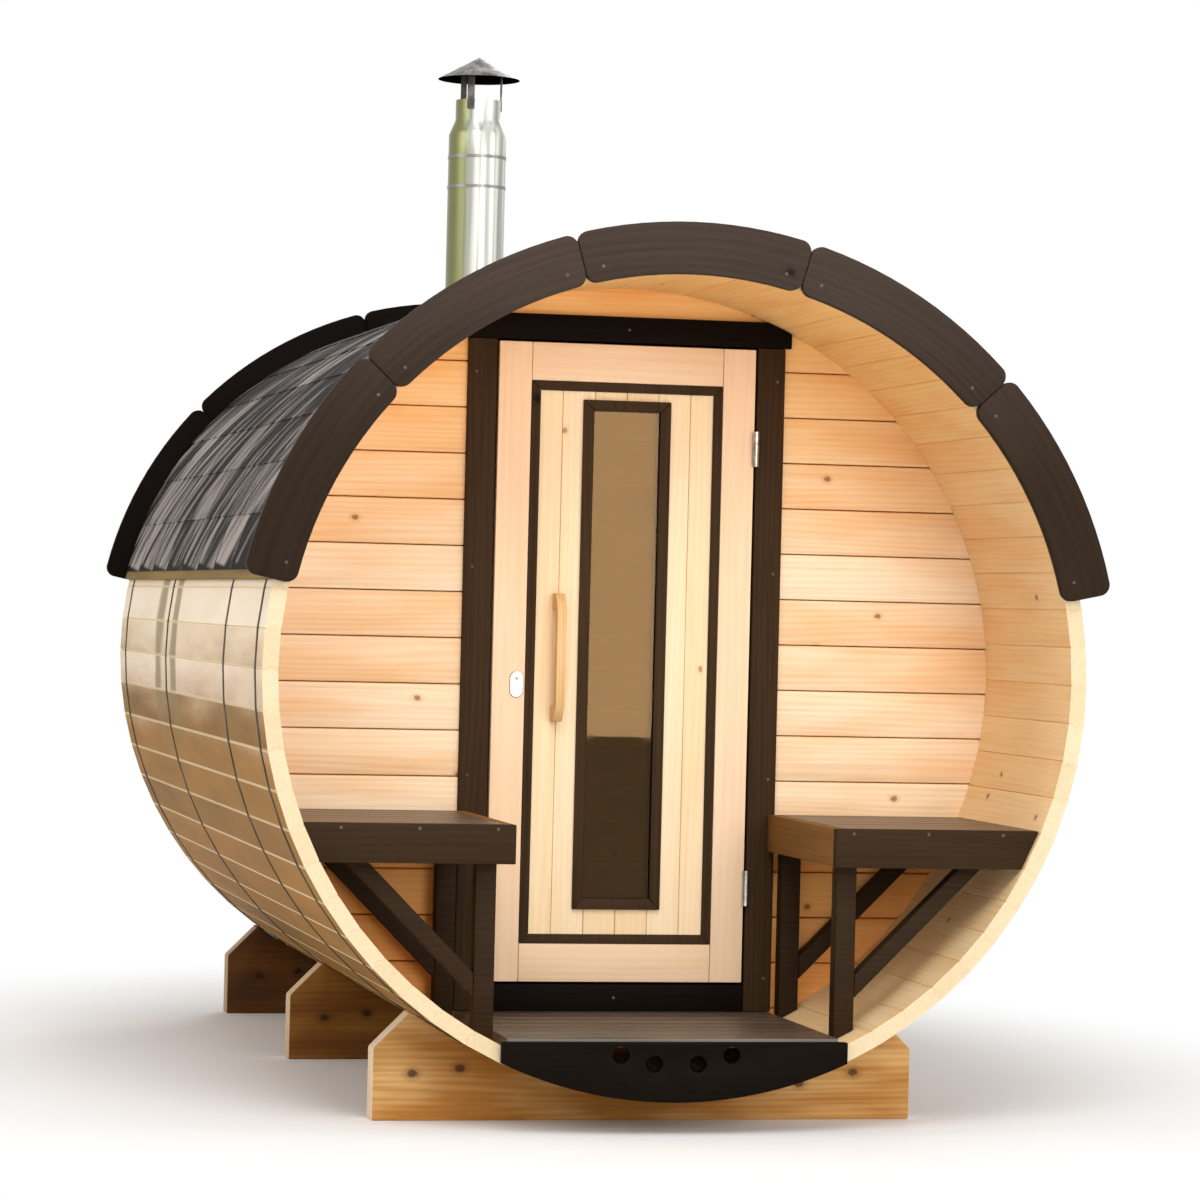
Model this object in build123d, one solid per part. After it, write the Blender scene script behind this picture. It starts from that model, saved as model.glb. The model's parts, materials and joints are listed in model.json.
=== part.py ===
from build123d import *

import os
from math import asin, cos, degrees, radians, sin, sqrt

# Barrel sauna lying on three cradles, with an open porch and two benches in front of its door.
# Millimetres. +Z is up, the front faces -Y, and +X is to the right of someone facing the door.
# The origin is on the ground under the middle of the barrel. Outlines are drawn as seen from the
# front, with their origin on the barrel's axis. Depths run back from the front end of the staves.

# Fits
seat_gap = 0.3
cut_overrun = 20

# Barrel of staves
barrel_outer_radius = 1000
barrel_length = 3000
barrel_ground_clearance = 78
stave_count = 66
stave_groups = 6
stave_thickness = 38
stave_joint_gap = 0.3
stave_edge_chamfer = 2
tongue_root_width = 18
tongue_tip_width = 10
tongue_height = 6
wall_groove_depth = 8

# Steel hoops
hoop_width = 20
hoop_thickness = 1.5
hoop_front_depth = 112
hoop_wall_setback = 5
hoop_middle_depth = 1856
hoop_rear_inset = 150

# Cradles
cradle_width = 1338
cradle_height = 260
cradle_thickness = 75
cradle_chamfer = 88
cradle_front_depth = 293
cradle_middle_depth = 1639
cradle_rear_inset = 31

# End walls
wall_thickness = 42
porch_depth = 670
rear_wall_inset = 90

# Floors
floor_rise = 112
floor_thickness = 23
fascia_width = 836
fascia_top_step = 7
fascia_inset = 1
fascia_hole_radius = 20
fascia_outer_hole_offset = 134
fascia_outer_hole_drop = 30
fascia_inner_hole_offset = 53
fascia_inner_hole_drop = 51

# Door frame
jamb_width = 72
frame_proud = 18
head_height = 66
head_horn = 16
head_crown_gap = 71
sill_height = 68
stop_depth = 13
stop_reach = 15

# Door leaf
leaf_width = 660
leaf_thickness = 42
leaf_clearance = 5
stile_width = 84
rail_height = 96
panel_thickness = 28
strip_width = 24
strip_thickness = 7
glazing_width = 225
light_top_margin = 44
light_bottom_margin = 86
glazing_strip_width = 28
glazing_strip_thickness = 10
glazing_overlap = 14
pane_thickness = 4

# Handle and lock rose
handle_rise = 651
handle_length = 320
handle_width = 24
handle_reach = 65
handle_bar_depth = 28
handle_end_slope = 40
handle_foot_height = 40
rose_width = 34
rose_height = 66
rose_thickness = 4
rose_edge = 1.5
rose_edge_inset = 62
rose_rise = 742
keyhole_radius = 4.5
keyhole_offset = 14

# Hinges
hinge_height = 88
hinge_leaf_width = 32
hinge_leaf_thickness = 1.8
hinge_knuckle_radius = 8
hinge_pin_radius = 4
hinge_pin_clearance = 0.4
hinge_knuckle_gap = 0.6
hinge_top_inset = 251
hinge_bottom_inset = 239

# Porch benches
bench_frame_lap = 19
bench_height = 498
bench_front_depth = 14
bench_board_thickness = 28
bench_apron_height = 93
bench_post_width = 50
bench_post_thickness = 45
bench_post_setback = 58
bench_brace_width = 40
bench_brace_foot_rise = 87
bench_brace_reach = 380

# Roof
roof_half_angle = 78
roof_panels = 5
batten_width = 38
batten_height = 10
sheathing_thickness = 8
trim_inner_reach = 12
trim_cover = 64
trim_thickness = 26
trim_corner = 28

# Chimney
chimney_rear_inset = 260
flue_radius = 85.5
flue_sheet = 2
flue_inner_end_drop = 40
flue_lower_seam_rise = 391.5
flue_upper_seam_rise = 480.5
flue_seam_height = 9
flue_seam_proud = 2
flue_rise = 547.5
shoulder_height = 45
neck_radius = 67
neck_height = 59
cap_gap = 63
cap_radius = 122
cap_height = 67
cap_sheet = 2
cap_straps = 3
strap_width = 22
strap_thickness = 2
roof_hole_clearance = 12
flashing_radius = 150
flashing_height = 70
flashing_sheet = 2

# Worked out for the barrel
axis_height = barrel_ground_clearance + barrel_outer_radius
stave_inner_radius = barrel_outer_radius - stave_thickness
stave_pitch = 360 / stave_count
half_pitch = radians(stave_pitch / 2)
inside_radius = stave_inner_radius * cos(half_pitch) - seat_gap
wall_radius = stave_inner_radius + wall_groove_depth - seat_gap
rear_wall_depth = barrel_length - rear_wall_inset - wall_thickness
floor_top_drop = stave_inner_radius - floor_rise
floor_bottom_drop = floor_top_drop + floor_thickness
floor_half_width = sqrt(inside_radius ** 2 - floor_bottom_drop ** 2)

# Worked out for the door and its frame
opening_half_width = leaf_width / 2 + leaf_clearance
frame_half_width = opening_half_width + jamb_width
frame_face_depth = porch_depth - frame_proud
frame_depth = frame_proud + wall_thickness
head_top_rise = stave_inner_radius - head_crown_gap
opening_top_rise = head_top_rise - head_height
threshold_top_drop = floor_top_drop - sill_height
leaf_top_rise = opening_top_rise - leaf_clearance
leaf_bottom_drop = threshold_top_drop - leaf_clearance
panel_face_depth = frame_face_depth + (leaf_thickness - panel_thickness) / 2
panel_half_width = leaf_width / 2 - stile_width
panel_bottom = -leaf_bottom_drop + rail_height
panel_top = leaf_top_rise - rail_height
light_half_width = glazing_width / 2 - glazing_overlap
light_bottom = panel_bottom + light_bottom_margin + glazing_overlap
light_top = panel_top - light_top_margin - glazing_overlap
handle_offset = (glazing_width / 2 + panel_half_width - strip_width) / 2
bench_inner_offset = frame_half_width - bench_frame_lap
hinge_axis_offset = leaf_width / 2 + leaf_clearance / 2
hinge_axis_depth = frame_face_depth - seat_gap - hinge_knuckle_radius

# Worked out for the roof and the chimney
sheathing_inner_radius = barrel_outer_radius + hoop_thickness + 2 * seat_gap
sheathing_outer_radius = sheathing_inner_radius + sheathing_thickness
batten_half_angle = degrees(asin(batten_width / 2 / sheathing_inner_radius))
batten_angle = roof_half_angle - batten_half_angle
trim_angle = 2 * roof_half_angle / roof_panels
panel_joint_angle = degrees(seat_gap / sheathing_inner_radius)
panel_half_angle = batten_angle - batten_half_angle - panel_joint_angle
panel_angle = 2 * panel_half_angle / roof_panels
chimney_depth = barrel_length - chimney_rear_inset
roof_hole_radius = flue_radius + roof_hole_clearance


def at_depth(depth):
    """Y of a place that lies this far behind the front end of the staves."""
    return depth - barrel_length / 2


def board(outline, depth, thickness):
    """Prism of an outline seen from the front, which starts at a depth and runs back."""
    front = Plane(origin=(0, at_depth(depth), axis_height), x_dir=(1, 0, 0), z_dir=(0, -1, 0))
    return extrude(front * outline, amount=thickness, dir=(0, 1, 0))


def turned(shape, angle):
    """Copy of a shape turned about the barrel's axis, from the top towards +X."""
    return Pos(0, 0, axis_height) * Rot(0, angle, 0) * Pos(0, 0, -axis_height) * shape


def upright(profile, depth, offset=0):
    """Solid of revolution about an upright axis, from a profile of radius and rise."""
    spun = revolve(Plane.XZ * profile, axis=Axis.Z)
    return Pos(offset, at_depth(depth), axis_height) * spun


def polygon(*points):
    """Flat face with straight sides."""
    return make_face(Polyline(*points, close=True).edges())


def rectangle(x_low, x_high, z_low, z_high):
    """Flat face between two X places and two Z places."""
    return polygon((x_low, z_low), (x_high, z_low), (x_high, z_high), (x_low, z_high))


def polar(radius, angle):
    """Point of a front view at a radius from the axis and an angle from the top towards +X."""
    return (radius * sin(radians(angle)), radius * cos(radians(angle)))


def arc_band(inner, outer, start, end):
    """Part of a ring between two angles."""
    middle = (start + end) / 2
    return make_face([
        ThreePointArc(polar(outer, start), polar(outer, middle), polar(outer, end)),
        Line(polar(outer, end), polar(inner, end)),
        ThreePointArc(polar(inner, end), polar(inner, middle), polar(inner, start)),
        Line(polar(inner, start), polar(outer, start)),
    ])


def chord(radius, height):
    """Half width of a circle about the axis at a height above or below it."""
    return sqrt(radius ** 2 - height ** 2)


def save(name, *shapes):
    """Write the solids of one node."""
    solids = [solid for shape in shapes for solid in shape.solids()]
    export_step(solids[0] if len(solids) == 1 else Compound(children=solids), f"parts/{name}.step")


# Barrel

def stave_side(side, radius, inward):
    """Point on a stave's joint, drawn in from the radial plane between two staves."""
    x = radius * sin(half_pitch) - inward * cos(half_pitch)
    return (side * x, radius * cos(half_pitch) + inward * sin(half_pitch))


def stave_outline():
    """Section of the stave at the top: a tongue on its +X edge and a matching groove on its -X edge."""
    joint_radius = barrel_outer_radius - stave_thickness / 2

    def edge(side, root, tip, sideways):
        inset = stave_joint_gap / 2
        outer_x, outer_z = stave_side(side, barrel_outer_radius, inset)
        inner_x, inner_z = stave_side(side, stave_inner_radius, inset)
        return [
            (outer_x - side * stave_edge_chamfer, outer_z),
            stave_side(side, barrel_outer_radius - stave_edge_chamfer, inset),
            stave_side(side, joint_radius + root / 2, inset),
            stave_side(side, joint_radius + tip / 2, inset - sideways),
            stave_side(side, joint_radius - tip / 2, inset - sideways),
            stave_side(side, joint_radius - root / 2, inset),
            stave_side(side, stave_inner_radius + stave_edge_chamfer, inset),
            (inner_x - side * stave_edge_chamfer, inner_z),
        ]

    slack = 2 * stave_joint_gap
    tongue = edge(1, tongue_root_width, tongue_tip_width, tongue_height)
    groove = edge(-1, tongue_root_width + slack, tongue_tip_width + slack, -tongue_height)
    return polygon(*tongue, *reversed(groove))


def make_staves():
    """Six groups of staves, each stave with a straight groove for each of the two end walls."""
    stave = board(stave_outline(), 0, barrel_length)
    stave_width = 2 * barrel_outer_radius * sin(half_pitch)
    groove = rectangle(-stave_width, stave_width, 0, stave_inner_radius + wall_groove_depth)
    for depth in (porch_depth, rear_wall_depth):
        stave -= board(groove, depth - seat_gap, wall_thickness + 2 * seat_gap)
    flue_hole = Pos(0, at_depth(chimney_depth), axis_height + barrel_outer_radius) * Cylinder(
        roof_hole_radius, 2 * barrel_outer_radius - 2 * stave_thickness)
    hole_angle = degrees(asin(roof_hole_radius / stave_inner_radius)) + stave_pitch
    names = ("staves_top", "staves_upper_right", "staves_lower_right",
             "staves_bottom", "staves_lower_left", "staves_upper_left")
    in_group = stave_count // stave_groups
    for group, name in enumerate(names):
        staves = []
        for place in range(in_group):
            angle = (group * in_group + place - in_group // 2) * stave_pitch
            piece = turned(stave, angle)
            staves.append(piece - flue_hole if abs(angle) < hole_angle else piece)
        save(name, *staves)


def make_hoops():
    """Flat steel bands drawn tight over the facets of the staves."""
    def facets(radius):
        return polygon(*(polar(radius, (place + 1 / 2) * stave_pitch) for place in range(stave_count)))

    inner = barrel_outer_radius + seat_gap
    ring = facets(inner + hoop_thickness) - facets(inner)
    depths = {"hoop_front": hoop_front_depth, "hoop_wall": porch_depth + hoop_wall_setback,
              "hoop_middle": hoop_middle_depth, "hoop_rear": barrel_length - hoop_rear_inset}
    for name, depth in depths.items():
        save(name, board(ring, depth - hoop_width / 2, hoop_width))


def make_cradles():
    """Three saddles cut to the barrel, with bevelled shoulders."""
    half = cradle_width / 2
    shoulder = cradle_height - cradle_chamfer
    outline = polygon(
        (-half, -axis_height), (half, -axis_height), (half, shoulder - axis_height),
        (half - cradle_chamfer, cradle_height - axis_height),
        (cradle_chamfer - half, cradle_height - axis_height), (-half, shoulder - axis_height),
    )
    saddle = outline - Circle(barrel_outer_radius + seat_gap)
    depths = {"cradle_front": cradle_front_depth, "cradle_middle": cradle_middle_depth,
              "cradle_rear": barrel_length - cradle_rear_inset - cradle_thickness}
    for name, depth in depths.items():
        save(name, board(saddle, depth, cradle_thickness))


# End walls and door frame

def make_walls():
    """Round end walls that sit in the grooves of the staves, the front one split round the door frame."""
    disc = Circle(wall_radius)
    side = frame_half_width + seat_gap
    over = head_top_rise + seat_gap
    below = -floor_top_drop
    reach = wall_radius + cut_overrun
    pieces = {
        "front_wall_left": rectangle(-reach, -side, below + seat_gap, reach),
        "front_wall_right": rectangle(side, reach, below + seat_gap, reach),
        "front_wall_over_door": rectangle(-frame_half_width, frame_half_width, over, reach),
        "front_wall_below_door": rectangle(-reach, reach, -reach, below),
    }
    for name, part_of_wall in pieces.items():
        save(name, board(disc & part_of_wall, porch_depth, wall_thickness))
    save("rear_wall", board(disc, rear_wall_depth, wall_thickness))


def head_outline(half_width):
    """Outline of the head, with its top corners cut to the curve of the staves."""
    return Circle(inside_radius) & rectangle(-half_width, half_width, opening_top_rise, head_top_rise)


def make_door_frame():
    """Jambs with a stop behind the leaf, a head with horns, and a threshold."""
    bottom = seat_gap - floor_top_drop
    stop_bottom = seat_gap - threshold_top_drop
    stop_start = frame_face_depth + frame_depth - stop_depth
    for name, side in (("door_jamb_left", -1), ("door_jamb_right", 1)):
        inner, outer = side * opening_half_width, side * frame_half_width
        top = opening_top_rise - seat_gap
        post = rectangle(min(inner, outer), max(inner, outer), bottom, top)
        stop_root = side * (opening_half_width - seat_gap)
        stop_edge = side * (opening_half_width - stop_reach)
        stop = rectangle(min(stop_root, stop_edge), max(stop_root, stop_edge), stop_bottom, top)
        save(name, board(post, frame_face_depth, frame_depth), board(stop, stop_start, stop_depth))
    face = head_outline(frame_half_width + head_horn)
    lining = head_outline(frame_half_width)
    save("door_head", board(face, frame_face_depth, frame_proud - seat_gap)
         + board(lining, frame_face_depth, frame_depth))
    sill_half = opening_half_width - seat_gap
    sill = rectangle(-sill_half, sill_half, bottom, -threshold_top_drop)
    save("door_threshold", board(sill, frame_face_depth, frame_depth))


# Door

def ring_of_strips(half_width, low, high, width, depth, thickness):
    """Four mitred strips round a rectangle, with a hair joint at each mitre."""
    slack = seat_gap / sqrt(2)
    strips = []
    for side in (-1, 1):
        outer, inner = side * half_width, side * (half_width - width)
        strips.append(polygon((outer, low + slack), (inner, low + width + slack),
                              (inner, high - width - slack), (outer, high - slack)))
    for edge, inward in ((low, width), (high, -width)):
        strips.append(polygon((slack - half_width, edge), (half_width - slack, edge),
                              (half_width - width - slack, edge + inward),
                              (width + slack - half_width, edge + inward)))
    return [board(strip, depth, thickness) for strip in strips]


def make_door_leaf():
    """Stiles, rails and the boarded panel round the glazed light."""
    half = leaf_width / 2
    bottom, top = -leaf_bottom_drop, leaf_top_rise
    rail_half = panel_half_width - seat_gap
    frame = [
        rectangle(-half, -panel_half_width, bottom, top), rectangle(panel_half_width, half, bottom, top),
        rectangle(-rail_half, rail_half, bottom, panel_bottom),
        rectangle(-rail_half, rail_half, panel_top, top),
    ]
    save("door_stiles_and_rails", *(board(piece, frame_face_depth, leaf_thickness) for piece in frame))
    low, high = panel_bottom + seat_gap, panel_top - seat_gap
    light = light_half_width
    panel = [
        rectangle(-rail_half, -light, low, high), rectangle(light, rail_half, low, high),
        rectangle(seat_gap - light, light - seat_gap, low, light_bottom),
        rectangle(seat_gap - light, light - seat_gap, light_top, high),
    ]
    save("door_panel", *(board(piece, panel_face_depth, panel_thickness) for piece in panel))


def make_door_strips():
    """Moulding strips in the recess of the panel, and the strips and panes of the light."""
    front = panel_face_depth - seat_gap
    back = panel_face_depth + panel_thickness + seat_gap
    around_panel = (panel_half_width - seat_gap, panel_bottom + seat_gap, panel_top - seat_gap)
    save("door_moulding",
         *ring_of_strips(*around_panel, strip_width, front - strip_thickness, strip_thickness),
         *ring_of_strips(*around_panel, strip_width, back, strip_thickness))
    around_light = (glazing_width / 2, light_bottom - glazing_overlap, light_top + glazing_overlap)
    save("door_glazing_strips",
         *ring_of_strips(*around_light, glazing_strip_width, front - glazing_strip_thickness,
                         glazing_strip_thickness),
         *ring_of_strips(*around_light, glazing_strip_width, back, glazing_strip_thickness))
    pane = rectangle(seat_gap - light_half_width, light_half_width - seat_gap,
                     light_bottom + seat_gap, light_top - seat_gap)
    save("door_glass", board(pane, panel_face_depth, pane_thickness),
         board(pane, panel_face_depth + panel_thickness - pane_thickness, pane_thickness))


def make_door_furniture():
    """Wooden bridge handle with sloped ends on two feet, and the lock rose on the stile."""
    bottom = handle_rise - leaf_bottom_drop
    top = bottom + handle_length
    inner = handle_reach - handle_bar_depth
    side = Plane(origin=(handle_width / 2 - handle_offset, at_depth(panel_face_depth), axis_height),
                 x_dir=(0, -1, 0), z_dir=(-1, 0, 0))

    def seen_from_side(*points):
        return extrude(side * polygon(*points), amount=handle_width, dir=(-1, 0, 0))

    pieces = [seen_from_side((inner, bottom), (handle_reach, bottom + handle_end_slope),
                             (handle_reach, top - handle_end_slope), (inner, top))]
    for low in (bottom, top - handle_foot_height):
        high = low + handle_foot_height
        pieces.append(seen_from_side((seat_gap, low), (inner - seat_gap, low),
                                     (inner - seat_gap, high), (seat_gap, high)))
    save("door_handle", *pieces)

    keyhole = Pos(0, keyhole_offset) * Circle(keyhole_radius)
    rose = Rot(0, 0, 90) * SlotOverall(rose_height, rose_width) - keyhole
    rose_place = Pos(rose_edge_inset - leaf_width / 2, rose_rise - leaf_bottom_drop)
    plate = board(rose_place * rose, frame_face_depth - seat_gap - rose_thickness, rose_thickness)
    rim = plate.faces().sort_by(Axis.Y)[0].outer_wire().edges()
    save("door_lock_rose", chamfer(rim, rose_edge))


def hinge_half(side, centre, knuckles, with_pin):
    """Half of a butt hinge: a plate in the joint of leaf and jamb, with tabs out to its knuckles.

    The knuckles are pairs of low and high ends, measured from the middle of the hinge.
    """
    outer = leaf_clearance / 2 - seat_gap
    ends = sorted(hinge_axis_offset + side * reach for reach in (outer - hinge_leaf_thickness, outer))
    plate_start = frame_face_depth + seat_gap
    tab_start = hinge_axis_depth + hinge_knuckle_radius - hinge_leaf_thickness
    half_height = hinge_height / 2

    def slab(start, end, low, high):
        return board(rectangle(*ends, centre + low, centre + high), start, end - start)

    half = slab(plate_start, plate_start + hinge_leaf_width, -half_height, half_height)
    bore = hinge_pin_radius + hinge_pin_clearance
    for low, high in knuckles:
        hollow = 0 if with_pin else bore
        barrel = upright(rectangle(hollow, hinge_knuckle_radius, centre + low, centre + high),
                         hinge_axis_depth, hinge_axis_offset)
        half += slab(tab_start, plate_start, low, high) + barrel
    if with_pin:
        half += upright(rectangle(0, hinge_pin_radius, centre - half_height, centre + half_height),
                        hinge_axis_depth, hinge_axis_offset)
    return half


def make_hinges():
    """Two hinges on the right: outer knuckles and pin on the jamb, middle knuckle on the leaf."""
    half_height = hinge_height / 2
    third = hinge_height / 6
    outer = ((-half_height, -third - hinge_knuckle_gap), (third + hinge_knuckle_gap, half_height))
    middle = ((-third, third),)
    centres = (leaf_top_rise - hinge_top_inset, hinge_bottom_inset - leaf_bottom_drop)
    save("hinges_on_jamb", *(hinge_half(1, centre, outer, True) for centre in centres))
    save("hinges_on_leaf", *(hinge_half(-1, centre, middle, False) for centre in centres))


# Floors and porch

def make_floors():
    """Floor slabs that bear on the curve of the staves, and the fascia over the front edge."""
    outline = rectangle(-floor_half_width, floor_half_width, -floor_bottom_drop, -floor_top_drop)
    save("porch_floor", board(outline, 0, porch_depth - seat_gap))
    cabin_start = porch_depth + wall_thickness + seat_gap
    save("cabin_floor", board(outline, cabin_start, rear_wall_depth - seat_gap - cabin_start))
    half = fascia_width / 2
    top = -floor_top_drop - fascia_top_step
    radius = barrel_outer_radius - fascia_inset
    fascia = Circle(radius) & rectangle(-half, half, -radius - cut_overrun, top)
    holes = ((fascia_outer_hole_offset, top - fascia_outer_hole_drop),
             (fascia_inner_hole_offset, top - fascia_inner_hole_drop))
    for x, z in holes:
        for side in (-1, 1):
            fascia -= Pos(side * x, z) * Circle(fascia_hole_radius)
    save("porch_fascia", board(fascia, -seat_gap - trim_thickness, trim_thickness))


def bench_board(inner, low, high):
    """Right-hand outline from an inner place to the curve of the staves, which cuts its outer end."""
    outer_low, outer_high = chord(inside_radius, low), chord(inside_radius, high)
    return polygon((inner, low), (outer_low, low), (outer_high, high), (inner, high))


def post_outline(inner, top):
    """Right-hand outline of a post, with its foot cut to the curve of the staves."""
    outer = inner + bench_post_width
    inner_foot, outer_foot = -chord(inside_radius, inner), -chord(inside_radius, outer)
    return polygon((inner, inner_foot), (outer, outer_foot), (outer, top), (inner, top))


def brace_outline(foot_x, top):
    """Right-hand outline of a brace from the side of a post up to the underside of the seat."""
    foot = bench_brace_foot_rise - floor_top_drop
    rise = top - foot
    slope = sqrt(bench_brace_reach ** 2 + rise ** 2)
    along_top, along_post = bench_brace_width * slope / rise, bench_brace_width * slope / bench_brace_reach
    end = foot_x + bench_brace_reach
    return polygon((foot_x, foot), (end, top), (end - along_top, top), (foot_x, foot + along_post))


def make_benches():
    """Porch benches: seat with its side board, and braced posts against that board under the seat."""
    top = bench_height - floor_top_drop
    apron_low = top - bench_apron_height
    seat_low = top - bench_board_thickness
    inner_side = bench_inner_offset + bench_board_thickness
    apron_back = bench_front_depth + bench_board_thickness
    back = frame_face_depth - seat_gap
    post_inner = inner_side + seat_gap
    post_top = seat_low - seat_gap
    legs = [post_outline(post_inner, post_top),
            brace_outline(post_inner + bench_post_width + seat_gap, post_top)]
    apron = board(bench_board(bench_inner_offset, apron_low, top), bench_front_depth, bench_board_thickness)
    front = [apron, *(board(leg, apron_back + bench_post_setback, bench_post_thickness) for leg in legs)]
    rear = [board(leg, back - bench_post_thickness, bench_post_thickness) for leg in legs]
    seat_start = apron_back + seat_gap
    seat_outlines = [bench_board(inner_side + seat_gap, seat_low, top),
                     rectangle(bench_inner_offset, inner_side, apron_low, top)]
    seat = [board(outline, seat_start, back - seat_start) for outline in seat_outlines]
    for name, solids in (("seat", seat), ("front_frame", front), ("rear_frame", rear)):
        save(f"bench_right_{name}", *solids)
        save(f"bench_left_{name}", *(mirror(solid, about=Plane.YZ) for solid in solids))


# Roof

def make_roof():
    """Sheathing over the hoops between two eave battens, and trim boards on both ends."""
    half, base = batten_width / 2, sheathing_inner_radius
    batten = board(rectangle(-half, half, base, base + batten_height), 0, barrel_length)
    save("roof_battens", *(turned(batten, angle) for angle in (-batten_angle, batten_angle)))

    hole = Pos(0, at_depth(chimney_depth), axis_height + sheathing_inner_radius) * Cylinder(
        roof_hole_radius, 2 * sheathing_inner_radius)
    panels = []
    for place in range(roof_panels):
        start = place * panel_angle - panel_half_angle
        outline = arc_band(sheathing_inner_radius, sheathing_outer_radius,
                           start + panel_joint_angle / 2, start + panel_angle - panel_joint_angle / 2)
        panels.append(board(outline, 0, barrel_length) - hole)
    save("roof_sheathing", *panels)

    trim_inner = stave_inner_radius - trim_inner_reach
    trim_outer = sheathing_outer_radius + trim_cover
    for name, depth in (("front_trim", -seat_gap - trim_thickness), ("rear_trim", barrel_length + seat_gap)):
        boards = []
        for place in range(roof_panels):
            start = place * trim_angle - roof_half_angle
            outline = arc_band(trim_inner, trim_outer,
                               start + panel_joint_angle / 2, start + trim_angle - panel_joint_angle / 2)
            boards.append(board(fillet(outline.vertices(), trim_corner), depth, trim_thickness))
        save(name, *boards)


# Chimney

def make_chimney():
    """Sheet steel flue with two seams, its flashing on the roof and its cap on straps."""
    bottom = stave_inner_radius - flue_inner_end_drop
    shoulder = sheathing_outer_radius + flue_rise
    neck_bottom = shoulder + shoulder_height
    neck_top = neck_bottom + neck_height
    outside = [(flue_radius, bottom)]
    for seam in (flue_lower_seam_rise, flue_upper_seam_rise):
        low = sheathing_outer_radius + seam - flue_seam_height / 2
        high, proud = low + flue_seam_height, flue_radius + flue_seam_proud
        outside += [(flue_radius, low), (proud, low), (proud, high), (flue_radius, high)]
    outside += [(flue_radius, shoulder), (neck_radius, neck_bottom), (neck_radius, neck_top)]
    inside = [(neck_radius - flue_sheet, neck_top), (neck_radius - flue_sheet, neck_bottom),
              (flue_radius - flue_sheet, shoulder), (flue_radius - flue_sheet, bottom)]
    save("chimney_pipe", upright(polygon(*outside, *inside), chimney_depth))

    skirt_top = sheathing_outer_radius + flashing_height
    collar = flue_radius + seat_gap
    skirt = upright(polygon((collar, skirt_top), (collar + flashing_sheet, skirt_top),
                            (flashing_radius, sheathing_inner_radius),
                            (flashing_radius - flashing_sheet, sheathing_inner_radius)), chimney_depth)
    deck = board(Circle(sheathing_outer_radius + seat_gap), 0, barrel_length)
    save("chimney_flashing", skirt - deck)

    rim = neck_top + cap_gap
    apex = rim + cap_height
    cap = upright(polygon((0, apex), (cap_radius, rim), (cap_radius - cap_sheet, rim), (0, apex - cap_sheet)),
                  chimney_depth)
    strap_low = neck_top - neck_height / 2
    strap_inner = neck_radius + seat_gap
    strap_high = apex - cap_sheet - seat_gap - cap_height / cap_radius * (strap_inner + strap_thickness)
    strap = Pos(strap_inner + strap_thickness / 2, 0, (strap_low + strap_high) / 2) * Box(
        strap_thickness, strap_width, strap_high - strap_low)
    turn = 360 / cap_straps
    straps = [Pos(0, at_depth(chimney_depth), axis_height) * Rot(0, 0, place * turn) * strap
              for place in range(cap_straps)]
    save("chimney_cap", cap, *straps)


os.makedirs("parts", exist_ok=True)
make_staves()
make_hoops()
make_cradles()
make_walls()
make_door_frame()
make_door_leaf()
make_door_strips()
make_door_furniture()
make_hinges()
make_floors()
make_benches()
make_roof()
make_chimney()
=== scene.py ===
"""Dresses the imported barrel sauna: board joints, shingles, screws, finishes, studio and camera."""

import json
import logging
import math
from collections.abc import Callable
from dataclasses import dataclass
from enum import Enum

import bpy
from bpy.types import Material, Node, NodeSocket, NodeTree, Object
from mathutils import Matrix, Vector

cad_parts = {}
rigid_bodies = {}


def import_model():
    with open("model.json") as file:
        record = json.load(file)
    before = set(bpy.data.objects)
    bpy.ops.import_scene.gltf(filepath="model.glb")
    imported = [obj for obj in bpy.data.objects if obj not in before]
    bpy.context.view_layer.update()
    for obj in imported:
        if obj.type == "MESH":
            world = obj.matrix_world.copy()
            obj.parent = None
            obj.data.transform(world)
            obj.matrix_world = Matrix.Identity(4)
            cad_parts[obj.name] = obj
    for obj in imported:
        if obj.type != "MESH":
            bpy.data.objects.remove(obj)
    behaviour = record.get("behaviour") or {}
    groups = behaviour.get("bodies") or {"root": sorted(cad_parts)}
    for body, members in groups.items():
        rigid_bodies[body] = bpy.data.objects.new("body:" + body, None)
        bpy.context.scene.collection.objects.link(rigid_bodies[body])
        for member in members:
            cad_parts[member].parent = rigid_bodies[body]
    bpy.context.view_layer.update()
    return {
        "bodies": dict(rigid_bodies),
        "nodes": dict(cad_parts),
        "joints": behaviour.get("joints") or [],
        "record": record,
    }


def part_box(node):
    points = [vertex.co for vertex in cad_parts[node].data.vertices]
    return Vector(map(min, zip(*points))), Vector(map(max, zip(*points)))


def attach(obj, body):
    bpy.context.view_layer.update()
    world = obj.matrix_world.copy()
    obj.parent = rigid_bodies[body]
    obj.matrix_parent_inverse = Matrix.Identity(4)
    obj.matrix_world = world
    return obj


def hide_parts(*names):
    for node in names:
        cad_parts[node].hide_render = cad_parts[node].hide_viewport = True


LOG = logging.getLogger("sauna")
MM = 0.001
BODY = "sauna"
LEAF = "door"
# What feeds an input of a node, and a colour as nodes take it.
Feed = Node | NodeSocket
Colour = tuple[float, float, float, float]
# Sockets of a Mix node for colours: its share, the two colours and what comes out.
SHARE, UNDER, OVER, MIXED = 0, 6, 7, 2
# Period of Blender's wave texture at a scale of 1, in metres.
WAVE_PERIOD = 2 * math.pi / 20


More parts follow.
